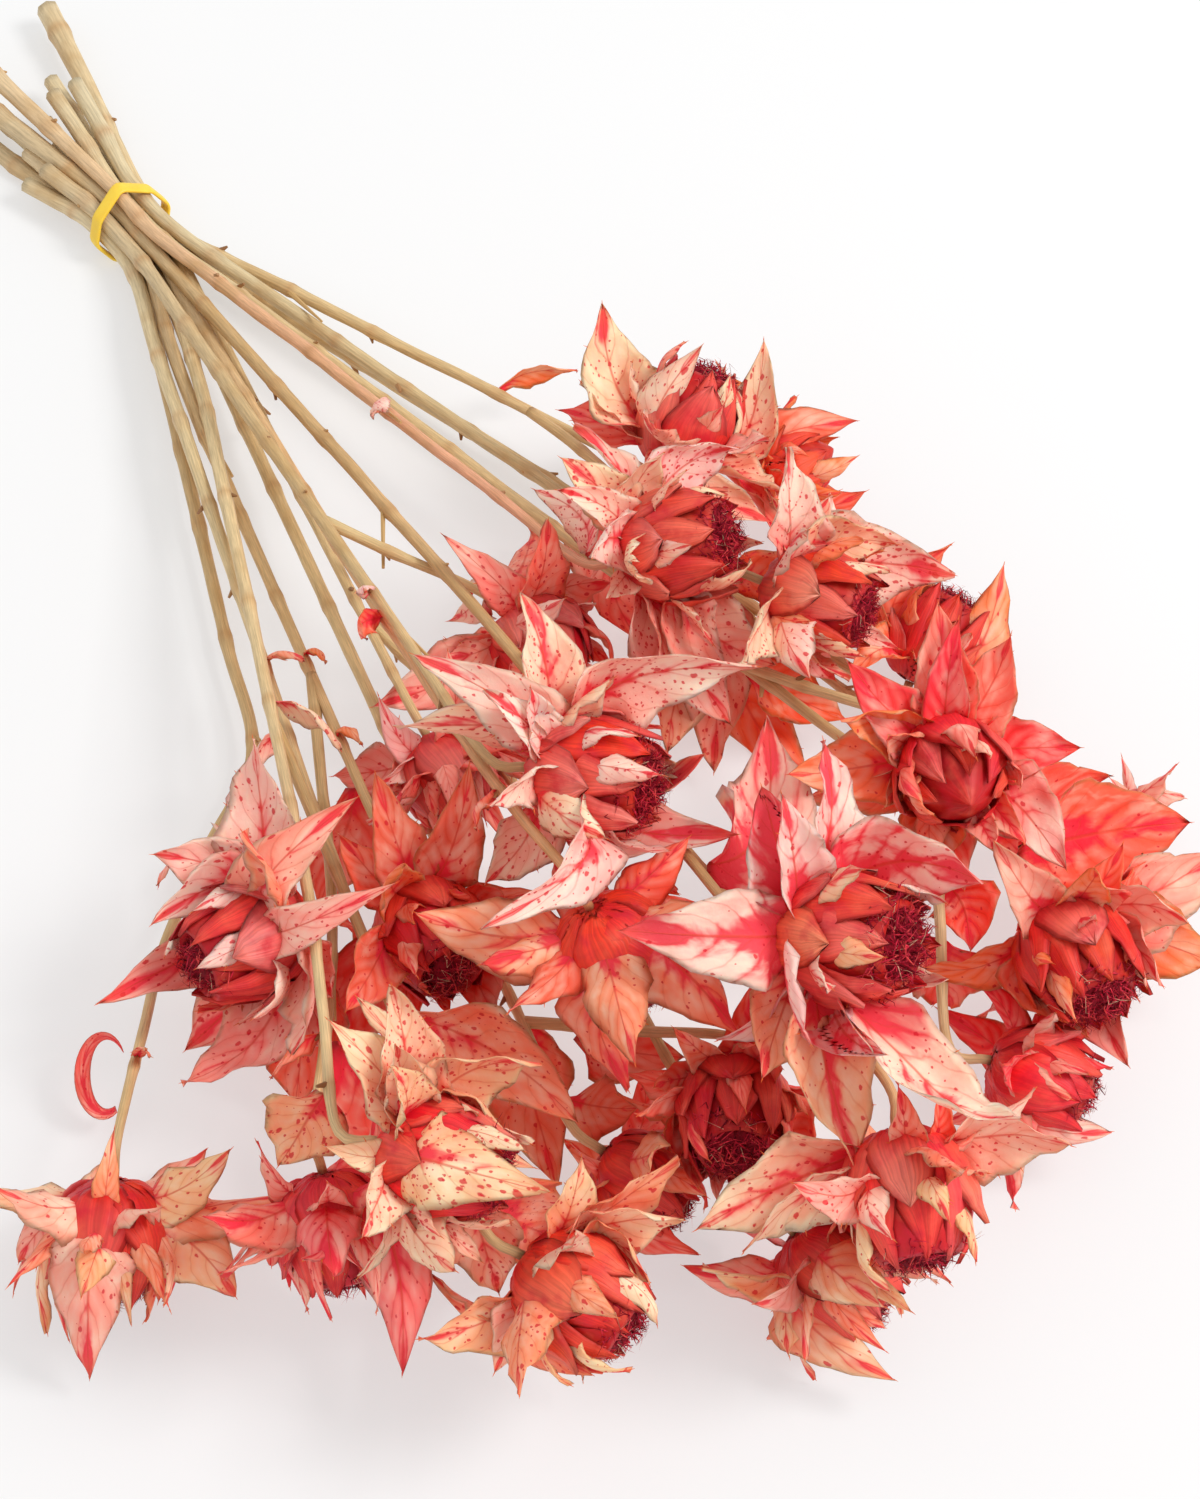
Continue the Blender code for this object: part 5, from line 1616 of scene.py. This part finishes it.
table_finish, shader, add = new_finish("matt_white_card")
wire(shader, {"Base Color": "A8A8A8", "Roughness": 0.9, "Emission Color": "FFFFFF",
              "Emission Strength": SHEET_GLOW})
floor.data.materials.append(table_finish)
print("finishes:", [finish.name for finish in bpy.data.materials if finish.users])

# %% [markdown]
# Every head took the dye in its own way. The table gives the ground colours that its leaves
# are drawn from, how dotted and how washed they are, how orange their margins are, and the
# colour of its urn.

# %% How each head is dyed
CREAM, SAND, BLUSH, PINK, SALMON = "FCD8B4", "FCC895", "FFD6C6", "FFB4A2", "FF9A74"
CORAL, ORANGE, ROSE, DUSTY, RED = "FF6C50", "F98A50", "FF7E6C", "F07460", "FA3C48"
Dye = namedtuple("Dye", "leaves dots wash rim urn")
DYE_ROWS = [
    ((BLUSH, BLUSH, BLUSH, SAND), 0.25, 0.95, 0.4, "EA3224"),
    ((BLUSH, CREAM, BLUSH), 0.85, 0.6, 0.5, "EA3A28"),
    ((ROSE, SALMON, PINK, ORANGE, RED), 0.1, 0.5, 0.5, "E8302E"),
    ((CREAM, CREAM, BLUSH), 1.0, 0.4, 0.5, "EA4434"),
    ((CREAM, SAND, CREAM), 1.0, 0.3, 0.6, "EE1E2A"),
    ((CREAM, CORAL, PINK, SAND), 0.5, 0.45, 0.5, "F42A32"),
    ((SALMON, CORAL, ROSE, CORAL), 0.15, 0.5, 0.4, "F03A22"),
    ((PINK, BLUSH, SALMON, BLUSH), 0.55, 0.4, 0.5, "E01C2A"),
    ((SAND, SALMON, CREAM), 0.6, 0.35, 0.7, "E82A1E"),
    ((SAND, SALMON, PINK), 0.3, 0.45, 0.7, "E83020"),
    ((CORAL, ORANGE, PINK), 0.1, 0.55, 0.6, "E62C1E"),
    ((ORANGE, DUSTY, CORAL), 0.2, 0.35, 0.7, "C81A16"),
    ((CREAM, BLUSH, ORANGE), 0.85, 0.4, 0.6, "E2341E"),
    ((PINK, ROSE, "FF7C80"), 0.35, 0.8, 0.2, "E42838"),
    ((SALMON, DUSTY, ROSE), 0.2, 0.35, 0.6, "C8161C"),
    ((SALMON, SAND, PINK), 0.2, 0.45, 0.5, "D81E28"),
    ((CREAM, DUSTY, PINK), 0.75, 0.45, 0.5, "DE2C28"),
    ((ORANGE, CORAL), 0.1, 0.35, 0.7, "E84024"),
    ((SALMON, ORANGE, PINK), 0.1, 0.45, 0.6, "DE2C22"),
    ((CORAL, PINK, RED), 0.1, 0.55, 0.4, "EE3232"),
    ((DUSTY, ROSE, SAND), 0.2, 0.35, 0.5, "D42824"),
    ((PINK, BLUSH, ROSE), 0.55, 0.35, 0.4, "D62E2A"),
    ((PINK, ROSE, BLUSH), 0.4, 0.45, 0.4, "D42C28"),
    ((PINK, BLUSH), 0.1, 0.75, 0.3, "F25656"),
]
DYES = {head.name: Dye(*row) for head, row in zip(HEADS, DYE_ROWS)}
print("leaf colours of the first head:", DYES["head_01"].leaves)

# %% [markdown]
# A fine leaf follows the same midrib, width, fold and wave as the plain blade. Added to it
# are a rounded cross-section, a sunk midrib, a ragged margin that ripples, the cockle of dry
# paper and a tip that curls. One grid makes both faces: it goes across the leaf on top and
# comes back below, so the sheet is closed, and it is thinnest at the margin as a real one is.

# %% The fine leaf
LEAF_COLUMNS, LEAF_ROWS = 8, 20
LOW_COLUMNS, LOW_ROWS = 6, 14
# layers up to the missed leaves show most; the ones after them take the coarser grid
LAST_FINE_LAYER = 3
# deep reds of painted shade, for leaves that little daylight reaches
PAINTED_SHADE_REDS = ("FC2414", "F41810", "FF3C20", "F42434")
# inner and collar bracts, which took more dye at the base
DEEP_BASED = (0, 5)
# how much painted shade a leaf in full shade takes, and the share of daylight from which it takes
# none
PAINTED_SHADE_MOST = 0.95
FULL_DAYLIGHT = 0.68
DYE_TAKE = (1.0, 0.93, 0.92)
SHEET_THICK = 0.35
RIB_SINK = 0.35
COCKLE = 0.9
COCKLE_SIZE = 7.0
SPINE_RADII = (0.16, 0.03)
SPINE_LENGTHS = (0.9, 1.6)
STRAW = linear("F09A60")


def fine_half_width(leaf, t):
    """An oval that narrows in one even curve to an acute tip, close to the plain blade's."""
    if t < 0.4:
        return half_width(leaf, t)
    return 0.5 * leaf.width * (1.0 - ((t - 0.4) / 0.6) ** 1.6)


def sheet_point(leaf, curl, u, v):
    """A point of a fine leaf: u across it and back below it, v along it, from 0 to 1."""
    s = 2 * fold_back(u)[0] - 1
    middle, side, face = leaf_frame(leaf, v)
    margin = abs(s)
    uneven = 1.0 + 0.05 * sin(16 * v + leaf.phase) * s
    uneven += 0.03 * sin(37 * v + 3 * leaf.phase)
    half = fine_half_width(leaf, v) * uneven
    arc = 2.4 * leaf.fold + 0.25
    reach = half * sin(arc * margin) / arc
    lift = half * (1 - cos(arc * margin)) / arc
    wave = -s * leaf.wave * sin(leaf.phase + 7.0 * v)
    ripple = 0.055 * leaf.width * margin ** 2 * sin(21 * v + 2.2 * leaf.phase + 1.3 * s)
    sink = -RIB_SINK * exp(-(s / 0.16) ** 2) * (1 - v)
    tip_curl = curl * (leaf.tip - leaf.root).length * max(0.0, v - 0.5) ** 2
    raised = lift + wave + ripple + sink + tip_curl
    point = middle + side * copysign(reach, s) + face * raised
    cockle = COCKLE * min(1.0, 3 * v) * (0.4 + 0.6 * margin)
    shake = noise.noise_vector(point / COCKLE_SIZE) * cockle
    point += face * shake.x + side * (0.4 * shake.y)
    point.z = max(point.z, SHEET_THICK)
    return point + face * sheet_side(u, v, SHEET_THICK)


def spine(piece, place, way, draw, tint):
    """A short stiff hair: a thin cone from the margin outwards."""
    length = draw.uniform(*SPINE_LENGTHS)
    middle = place + way * (0.5 * length - 0.3)
    cone(piece, middle, way, length, 4, SPINE_RADII, tint, 0.1)


def fine_leaf(piece, leaf, dye, layer, draw, finish=0):
    """One dyed leaf: a grid bent to its place, with a spine at its tip and a few beside it."""
    code = dye.leaves[draw.randrange(len(dye.leaves))]
    ground = mixed(linear(code), linear(dye.leaves[0]), 0.25 * draw.random())
    ground = tuple(value * take * draw.uniform(0.93, 1.05)
                   for value, take in zip(ground, DYE_TAKE))
    deep = linear(dye.urn)
    base = 0.55 if layer in DEEP_BASED else 0.35
    curl = draw.uniform(-0.4, 0.9)
    marks = (dye.dots * draw.uniform(0.4, 1.2), dye.wash * draw.uniform(0.5, 1.3), dye.rim)
    # the deep red that the leaf's colour turns to as painted shade
    shaded = mixed(mixed(ground, deep, 0.35), linear(draw.choice(PAINTED_SHADE_REDS)), 0.6)
    light = leaf_light(leaf)
    length = (leaf.tip - leaf.root).length
    start = draw.uniform(0, 40), draw.uniform(0, 40)

    def tint_of(u, v):
        at = min(1.99, max(0.0, 2 * (v - LIGHT_PLACES[0]) / 0.7))
        k = int(at)
        lit = light[k] + (light[k + 1] - light[k]) * (at - k)
        # painted shade: the less daylight reaches this part of the leaf, the more of the deep red
        # it takes
        dark = PAINTED_SHADE_MOST * max(0.0, 1 - lit / FULL_DAYLIGHT) ** 1.2
        return mixed(mixed(ground, shaded, dark), deep, base * max(0.0, 1 - 2.6 * v) ** 1.5)

    def flat_of(u, v):
        return (2 * u - 1) * half_width(leaf, v) / 10 + start[0], v * length / 10 + start[1]

    fine = layer <= LAST_FINE_LAYER
    columns, rows = (LEAF_COLUMNS, LEAF_ROWS) if fine else (LOW_COLUMNS, LOW_ROWS)
    shaped_grid(piece, 2 * columns, rows, lambda u, v: sheet_point(leaf, curl, u, v),
                tint_of, marks, weld=0.02, finish=finish, flat_of=flat_of)
    end = sheet_point(leaf, curl, 0.25, 1.0)
    way = end - sheet_point(leaf, curl, 0.25, 0.93)
    spine(piece, end, way.normalized(), draw, deep)
    for _ in range(draw.randrange(3)):
        u, v = draw.choice((0.0, 0.5)), draw.uniform(0.2, 0.85)
        edge = sheet_point(leaf, curl, u, v)
        way = edge - sheet_point(leaf, curl, 0.25, v) + midrib_way(leaf, v) * 3
        spine(piece, edge, way.normalized(), draw, STRAW)


print("a fine leaf has", LEAF_COLUMNS * LEAF_ROWS, "faces on each side")

# %% [markdown]
# The urn is not one smooth bowl. Broad waxy bracts wrap it edge over edge, an inner ring that
# reaches the mouth and an outer one that stops half way, and all are creased lengthwise. A
# smooth core closes it inside. The bracts are grids laid on the urn's profile. At an open
# mouth their tips lean out, and at a shut one they pucker over it.

# %% The fine urn
CORE_SIDES, CORE_RINGS = 28, 16
WRAP_COLUMNS, WRAP_ROWS = 8, 10
# the share of the profile where the mouth is, and the heads whose mouth is shut
RIM = 5 / 7
SHUT_HEADS = ("head_05", "head_06", "head_08", "head_09", "head_12")


def profile_at(profile, share):
    """Height and radius at a share of the way from pole to pole, smoothly joined."""
    at = share * (len(profile) - 1)
    k = min(int(at), len(profile) - 2)
    before, low = profile[max(k - 1, 0)], profile[k]
    high, after = profile[k + 1], profile[min(k + 2, len(profile) - 1)]
    return tuple(smooth_between(*four, at - k) for four in zip(before, low, high, after))


def wrapped_bract(piece, head, turn, spread, lift, stop, lean, colours, creases):
    """One waxy bract laid on the urn; stop is the share of the profile where its tip is."""
    matrix = head_matrix(head)
    height, radius = urn_size(head)
    profile = profile_of(head)
    ground, tip, pale = colours

    def narrow(v):
        return cos((v - 0.4) / 0.6 * pi / 2) ** 0.75 if v > 0.4 else 0.7 + 0.75 * v

    def wrap_point(u, v):
        s = 2 * fold_back(u)[0] - 1
        high, wide = profile_at(profile, 0.05 + (stop - 0.05) * v)
        beyond = max(0.0, v - 0.6) / 0.4
        angle = turn + spread * s * narrow(v)
        crease = 0.5 * cos(creases * s + turn) + 0.35 * cos(2.3 * creases * s + 2 * turn)
        reach = wide * radius + lift + 0.5 * (1 - s * s) + crease * (1 - 0.6 * v)
        reach += lean * radius * beyond ** 2
        top = high * height + 0.06 * height * beyond * beyond
        point = Vector((reach * cos(angle), reach * sin(angle), top))
        out = Vector((cos(angle), sin(angle), 0))
        point += noise.noise_vector(point / 5 + Vector((turn * 3, 0, 0))) * 0.9
        return matrix @ (point + out * sheet_side(u, v, SHEET_THICK))

    def wrap_tint(u, v):
        return mixed(ground, tip, pale * max(0.0, v - 0.3) / 0.7)

    def flat_of(u, v):
        return 2 * spread * radius * u / 10, v * height / 10

    shaped_grid(piece, 2 * WRAP_COLUMNS, WRAP_ROWS, wrap_point, wrap_tint, weld=0.02,
                finish=1, flat_of=flat_of)


def fine_urn(piece, head, dye, draw):
    """The core of an urn and the bracts round it."""
    matrix = head_matrix(head)
    height, radius = urn_size(head)
    profile = profile_of(head)
    # painted shade: the core shows only in the crevices between the bracts, so its colour is the
    # urn's dye deepened to a dark red
    deep = mixed(linear(dye.urn), linear("A00A0E"), 0.6)

    def core_point(u, v):
        high, wide = profile_at(profile, v)
        angle = tau * u
        reach = max(0.0, wide * radius - 0.4)
        return matrix @ Vector((reach * cos(angle), reach * sin(angle), high * height))

    shaped_grid(piece, CORE_SIDES, CORE_RINGS, core_point, lambda u, v: deep, weld=0.01,
                finish=1)
    lean_at_mouth = (-0.25, -0.05) if head.name in SHUT_HEADS else (-0.05, 0.2)
    for ring, count, stops, leans in ((0, 8, (RIM, RIM), lean_at_mouth),
                                      (1, 6, (0.42, 0.64), (0.0, 0.25))):
        for k in range(count):
            turn = tau * (k + 0.5 * ring + draw.uniform(-0.15, 0.15)) / count
            spread = pi / count * draw.uniform(1.35, 1.7)
            lift = 0.3 + 0.5 * (k % 2) + 1.0 * ring
            strong = linear(draw.choice(("D8101C", "F03A22", "E0142A", dye.urn)))
            ground = mixed(linear(dye.urn), strong, 0.5)
            tip = mixed(linear(draw.choice(dye.leaves)), linear(dye.urn), 0.3)
            pale = draw.uniform(0.0, 0.45) + 0.25 * ring
            creases = draw.uniform(5, 9)
            wrapped_bract(piece, head, turn, spread, lift, draw.uniform(*stops),
                          draw.uniform(*leans), (ground, tip, pale), creases)


# %% [markdown]
# Now every head is put together: its urn with the waxy bracts, then its leaves.

# %% Make the heads
def make_head(head):
    """One head; the result is its number of triangles."""
    piece = open_piece()
    dye = DYES[head.name]
    draw = random.Random(head.seed)
    fine_urn(piece, head, dye, draw)
    for leaf, layer in grown[head.name]:
        fine_leaf(piece, leaf, dye, layer, draw)
    return close_piece(piece, head.name + "_bracts", head.name,
                       (dry_leaf, waxy_bract))


print("heads:", sum(make_head(head) for head in HEADS), "triangles")

# %% [markdown]
# In the mouth of each open head the florets have dried to a dark tangle. A low dome fills the
# cup, and threads stand on it, lean outwards and curl. Each is a small grid rolled into a
# tube with three sides. A few paler, finer hairs stick out of the tangle.

# %% Make the florets
THREAD_SIDES, THREAD_ROWS = 3, 6
FULL_THREADS = 260
THREAD_RADIUS = 0.3
PALE_SHARE = 0.05
BROAD_TUFTS = {"head_01": 1.7, "head_02": 1.2, "head_04": 1.25, "head_11": 1.3,
               "head_15": 1.2}
THREAD_TINTS = ("7A0A1E", "900E26", "A4142C", "B81A34", "CC2640", "DC3446", "E8504E")


def thread(piece, root, way, side, length, radius, curls, tint):
    """A curling thread: a grid rolled round a wavy line."""
    other = way.cross(side).normalized()
    pace, phase, swing = curls

    def line(v):
        bow = sin(pace * v + phase) - sin(phase)
        lean = cos(1.3 * pace * v + phase) - cos(phase)
        return root + way * (length * v) + side * (swing * bow * v) + other * (swing * lean * v)

    def thread_point(u, v):
        angle = tau * u
        thin = radius * (1 - v ** 3)
        point = line(v) + side * (thin * cos(angle)) + other * (thin * sin(angle))
        point.z = max(point.z, 0.1)
        return point

    shaped_grid(piece, THREAD_SIDES, THREAD_ROWS, thread_point, lambda u, v: tint, weld=0.01)


def make_florets(head):
    """One tuft: the dome and its threads, which stop short of any leaf in their way."""
    piece = open_piece()
    draw = random.Random(head.seed + 500)
    matrix = head_matrix(head)
    turn = matrix.to_3x3()
    height, radius = urn_size(head)
    broad = BROAD_TUFTS.get(head.name, 1.0)
    flat = tuft_flatness(head)
    cup = OPEN_URN[-1][0] * height

    def dome_point(u, v):
        angle = tau * u
        reach = sin(v * pi) * 0.6 * radius
        top = cup + 0.2 * height * (1 - cos(v * pi)) * 0.5 + 0.5
        along_x, along_y = cos(angle), sin(angle)
        bumps = 1.1 * noise.noise(Vector((9 * along_x * v, 9 * along_y * v, head.seed)))
        return matrix @ Vector((reach * along_x * flat, reach * along_y, top + bumps))

    shaped_grid(piece, 20, 12, dome_point, lambda u, v: linear("8A0C20"), weld=0.01)
    for k in range(int(FULL_THREADS * (0.7 + 0.5 * broad) * flat)):
        share = sqrt(draw.random())
        angle = draw.uniform(0, tau)
        out = Vector((cos(angle) * flat, sin(angle), 0))
        root = Vector((0, 0, cup + 0.14 * height * (1 - share * share)))
        root += out * (share * 0.62 * radius)
        lean = 0.2 + 1.3 * broad * share * draw.uniform(0.3, 1.1)
        way = (Vector((0, 0, 1)) + out * lean).normalized()
        pale = draw.random() < PALE_SHARE
        length = draw.uniform(3.0, 6.0) * head.size * (1.2 if pale else 1.0)
        length *= 0.6 + 0.4 * broad
        tint = linear("D8A98C") if pale else linear(draw.choice(THREAD_TINTS))
        thin = THREAD_RADIUS * (0.5 if pale else draw.uniform(0.75, 1.25))
        side = way.cross(Vector((draw.uniform(-1, 1), draw.uniform(-1, 1), 0.3)))
        curls = (draw.uniform(4, 12), draw.uniform(0, 6), draw.uniform(1.2, 3.0))
        start, way = matrix @ root, turn @ way
        blocked = all_leaves.ray_cast(start, way, length + 1.5)[3]
        if blocked:
            length = max(0.8, blocked - 1.5)
            curls = (curls[0], curls[1], 0.4)
        thread(piece, start, way, turn @ side.normalized(), length, thin, curls, tint)
    node = head.name.replace("head", "florets")
    return close_piece(piece, node + "_threads", node, (dried_floret,))


print("florets:", sum(make_florets(head) for head in OPEN_HEADS), "triangles")

# %% [markdown]
# A fine stem follows its eased route. It is ribbed lengthwise, swells a little at each joint
# where a leaf was stripped off, and wanders sideways by a hair along its length, so it isn't a
# straight pipe. Short brown stubs are left of the torn leaves. Towards the cut end a stem is
# thicker and bleached, and the cut shows a paler pith.

# %% The fine stem
STEM_SIDES = 14
STEM_LEAF_FROM, STEM_LEAF_TO = 0.62, 0.92
# the stem with the ring-shaped leaf, the cell of the front view it is in, and its height
RING_STEM = "stem_08"
RING_ROW, RING_COLUMN, RING_HEIGHT = 107, 10, 12.0
TWIG_CHANCE = 0.22
RING_SPACING = 2.6
JOINT_SPACING = (24.0, 46.0)
STEM_TINTS = ("E2CB9C", "DABE88", "CDAA72", "DCC595", "C9B486", "D4B782", "BE9D69", "D7B17A")
STUB_TINTS = ("A87B4E", "8F6238", "C29A66")
DYED_STEMS = {"stem_03": "EBA083", "stem_12": "E09668", "stem_06": "DEB17C"}
THICK_ENDS = {"stem_01": 1.55, "stem_03": 1.35, "stem_06": 1.5, "stem_08": 1.4,
              "stem_11": 1.3}
THICK_END, BLEACHED_END = 75.0, 150.0
BROWN, BLEACHED = linear("B88048"), linear("E6D6B4")


def ring_frames(points):
    """For each point of a line: the way there and two side ways that turn little."""
    frames = []
    side = Vector((0, 0, 1))
    for k, point in enumerate(points):
        way = (points[min(k + 1, len(points) - 1)] - points[max(k - 1, 0)]).normalized()
        side = (side - way * side.dot(way)).normalized()
        frames.append((point, way, side, way.cross(side)))
    return frames


def joints_along(length, draw):
    """Where the joints of a run are, and which way each one leans."""
    joints, at = [], draw.uniform(8, 25)
    while at < length - 14:
        joints.append((at, draw.uniform(0, tau)))
        at += draw.uniform(*JOINT_SPACING)
    return joints


def stem_run(piece, run, stem, draw):
    """One run of stem with its stubs and leaves."""
    is_branch = run.parent is not None
    points = smooth_way(run.points, RING_SPACING)
    frames = ring_frames(points)
    rows = len(points) - 1
    length = rows * RING_SPACING
    joints = joints_along(length, draw)
    ground = linear(draw.choice(STEM_TINTS))
    dyed = linear(DYED_STEMS.get(stem.name, "DAB884"))
    flare = 1.0 if is_branch else THICK_ENDS.get(stem.name, 1.12)
    seed = draw.uniform(0, 50)

    def radius_at(v):
        at = v * (len(run.radii) - 1)
        k = min(int(at), len(run.radii) - 2)
        plain = run.radii[k] + (run.radii[k + 1] - run.radii[k]) * (at - k)
        bulge = sum(exp(-((v * length - place) / 2.4) ** 2) for place, _ in joints)
        thick = 1 + (flare - 1) * max(0.0, 1 - v * length / THICK_END)
        lumpy = 0.05 * noise.noise(Vector((v * length / 9, seed, 0)))
        return plain * (1 + 0.19 * bulge + lumpy) * thick

    def stem_point(u, v):
        k = min(int(round(v * rows)), rows)
        centre, _, side, other = frames[k]
        angle = tau * u
        ridges = 1 + 0.045 * cos(7 * angle + 0.5 * sin(v * length / 20))
        reach = radius_at(v) * ridges
        bend = 0.9 * noise.noise(Vector((v * length / 26, seed, 5)))
        point = centre + side * (reach * cos(angle) + bend)
        point += other * (reach * sin(angle))
        point.z = max(point.z, 0.05)
        return point

    def stem_tint(u, v):
        near = max([exp(-((v * length - place) / 1.6) ** 2) for place, _ in joints] + [0])
        tint = mixed(ground, dyed, min(1.0, v * 1.2) * 0.7)
        faded = 0.0 if is_branch else 0.55 * max(0.0, 1 - v * length / BLEACHED_END)
        return mixed(mixed(tint, BLEACHED, faded), BROWN, 0.5 * near)

    faces = shaped_grid(piece, STEM_SIDES, rows, stem_point, stem_tint, weld=0.03)
    uv = piece.loops.layers.uv[SHEET]
    for face in faces:
        for loop in face.loops:
            loop[uv].uv.y *= length / 10
    spots = []
    for place, angle in joints:
        share = place / length
        centre, way, side, other = frames[min(int(share * rows), rows)]
        spots.append((share, centre, way, turned_way(side, other, angle)))
    add_stubs(piece, spots, radius_at, draw)
    add_stem_leaves(piece, stem, spots, draw)


def add_stubs(piece, spots, radius_at, draw):
    """Short torn leaf stalks at some of the joints, and a few long twigs."""
    for share, centre, way, out in spots:
        if draw.random() < 0.35:
            continue
        long_twig = draw.random() < TWIG_CHANCE and 0.2 < share < 0.8
        grow = (out + way * draw.uniform(0.5, 1.3) * (3 if long_twig else 1)).normalized()
        size = draw.uniform(9, 20) if long_twig else draw.uniform(1.4, 3.6)
        at = centre + out * (radius_at(share) * 0.6) + grow * (0.45 * size)
        radii = draw.uniform(0.7, 1.0), draw.uniform(0.25, 0.5)
        tint = linear("C8A268" if long_twig else draw.choice(STUB_TINTS))
        cone(piece, at, grow, size, 6, radii, tint, 0.05)


def add_stem_leaves(piece, stem, spots, draw):
    """A few small dyed leaves that were left on a stem where it runs in among the heads."""
    for share, centre, way, out in spots:
        if not STEM_LEAF_FROM < share < STEM_LEAF_TO or draw.random() < 0.3:
            continue
        if out.z < -0.2:
            out = -out
        size = draw.uniform(13, 24)
        tip = centre + (out * 0.7 + way * 0.7).normalized() * size
        knee = centre + out * (0.5 * size) + way * (0.1 * size)
        leaf = Leaf(centre + out, knee, tip, out, way, 0.36 * size, 0.3, 0.6,
                    draw.uniform(-0.8, 0.8), draw.uniform(-0.6, 0.6), draw.uniform(0, 6))
        if not crowd.blocks(stem.name, leaf):
            fine_leaf(piece, leaf, DYES[stem.head], len(LEAF_LAYERS), draw, finish=1)


def curled_leaf(piece):
    """The narrow leaf on one lower stem that dried into a ring."""
    centre = point_at(RING_ROW, RING_COLUMN, RING_HEIGHT)
    ground, deep = linear(ROSE), linear("F0304A")

    def ring_place(u, v):
        across_share = 2 * fold_back(u)[0] - 1
        angle = radians(-60 - 265 * v)
        radial = RIGHT * cos(angle) + UP * sin(angle)
        spot_on_ring = centre + RIGHT * (5.5 * cos(angle)) + UP * (9.5 * sin(angle))
        breadth = (OUT * 0.75 + radial * 0.6).normalized()
        half = 2.7 * sin(pi * min(1.0, 0.12 + 0.88 * v)) ** 0.7
        thin = radial.cross(breadth).cross(breadth) * sheet_side(u, v, SHEET_THICK)
        return spot_on_ring + breadth * (across_share * half) + thin

    def ring_flat(u, v):
        return 0.5 * u, 4 * v

    shaped_grid(piece, 12, 26, ring_place, lambda u, v: mixed(ground, deep, 0.5 * v),
                (0.4, 0.8, 0.3), weld=0.02, finish=1, flat_of=ring_flat)


def cap_ends(piece):
    """Close the open ends of the runs, and sink a ring of paler pith into each cut end."""
    rims = [edge for edge in piece.edges if edge.is_boundary]
    caps = bmesh.ops.holes_fill(piece, edges=rims, sides=0)["faces"]
    bmesh.ops.inset_region(piece, faces=caps, thickness=0.5, depth=-0.25)
    layer = piece.verts.layers.float_color["tint"]
    for face in caps:
        if face.is_valid:
            for vert in face.verts:
                vert[layer] = (*CUT_PITH, 1.0)


def make_stem(number, stem):
    """One stem with its side branches."""
    piece = open_piece()
    draw = random.Random(700 + number)
    for run in routes:
        if run.stem == number:
            stem_run(piece, run, stem, draw)
    cap_ends(piece)
    if stem.name == RING_STEM:
        curled_leaf(piece)
    return close_piece(piece, stem.name + "_straw", stem.name,
                       (straw_stem, dry_leaf))


print("stems:", sum(make_stem(k, stem) for k, stem in enumerate(STEMS)), "triangles")

# %% [markdown]
# The rubber band is one flat loop. Its line is the tight outline round the outermost stems,
# with an arc at every corner, and a rounded strip is swept along it. The sweep is a grid
# once more: across runs round the strip's section and along runs round the loop.

# %% Make the rubber band
# the slots of the stems that the band touches, in order round the bunch
HULL = (0, 3, 8, 12, 13, 9, 4)
CORNER_STEPS = 7
SECTION_SIDES = 14


def band_line(offset):
    """A loop that runs at a distance round the outermost slots, with its outward ways."""
    slots = [(slot.y, slot.z) for slot in band_slots()]
    corners = [slots[k] for k in HULL]
    loop = []
    for index, (y, z) in enumerate(corners):
        before, after = corners[index - 1], corners[(index + 1) % len(corners)]
        start = atan2(z - before[1], y - before[0]) - pi / 2
        end = atan2(after[1] - z, after[0] - y) - pi / 2
        turn = (end - start) % tau
        for step in range(CORNER_STEPS):
            angle = start + turn * step / (CORNER_STEPS - 1)
            outward = Vector((0, cos(angle), sin(angle)))
            loop.append((Vector((0, y, z)) + outward * offset, outward))
    return loop


band_loop = band_line(CUT_RADIUS + GAP + 0.5 * BAND_THICK)
band_lowest = min(point.z for point, _ in band_loop) - 0.5 * BAND_THICK


def band_point(u, v):
    """The strip's section is a rounded oblong, 4 mm by 1.1 mm."""
    point, outward = band_loop[int(round(v * len(band_loop))) % len(band_loop)]
    angle = tau * u
    flat, thick = cos(angle), sin(angle)
    along_x = copysign(abs(flat) ** 0.5, flat) * BAND_HALF_WIDTH
    out = copysign(abs(thick) ** 0.6, thick) * 0.5 * BAND_THICK
    x = BAND_X + along_x - BAND_LEAN * (point.z - band_lowest) + 0.12 * sin(19 * v)
    return Vector((x, point.y, point.z)) + outward * out


piece = open_piece()
shaped_grid(piece, SECTION_SIDES, len(band_loop), band_point, lambda u, v: linear("F8D344"),
            weld=0.01)
close_piece(piece, "yellow_band", "rubber_band", (yellow_rubber,))
print("band loop of", len(band_loop), "points")
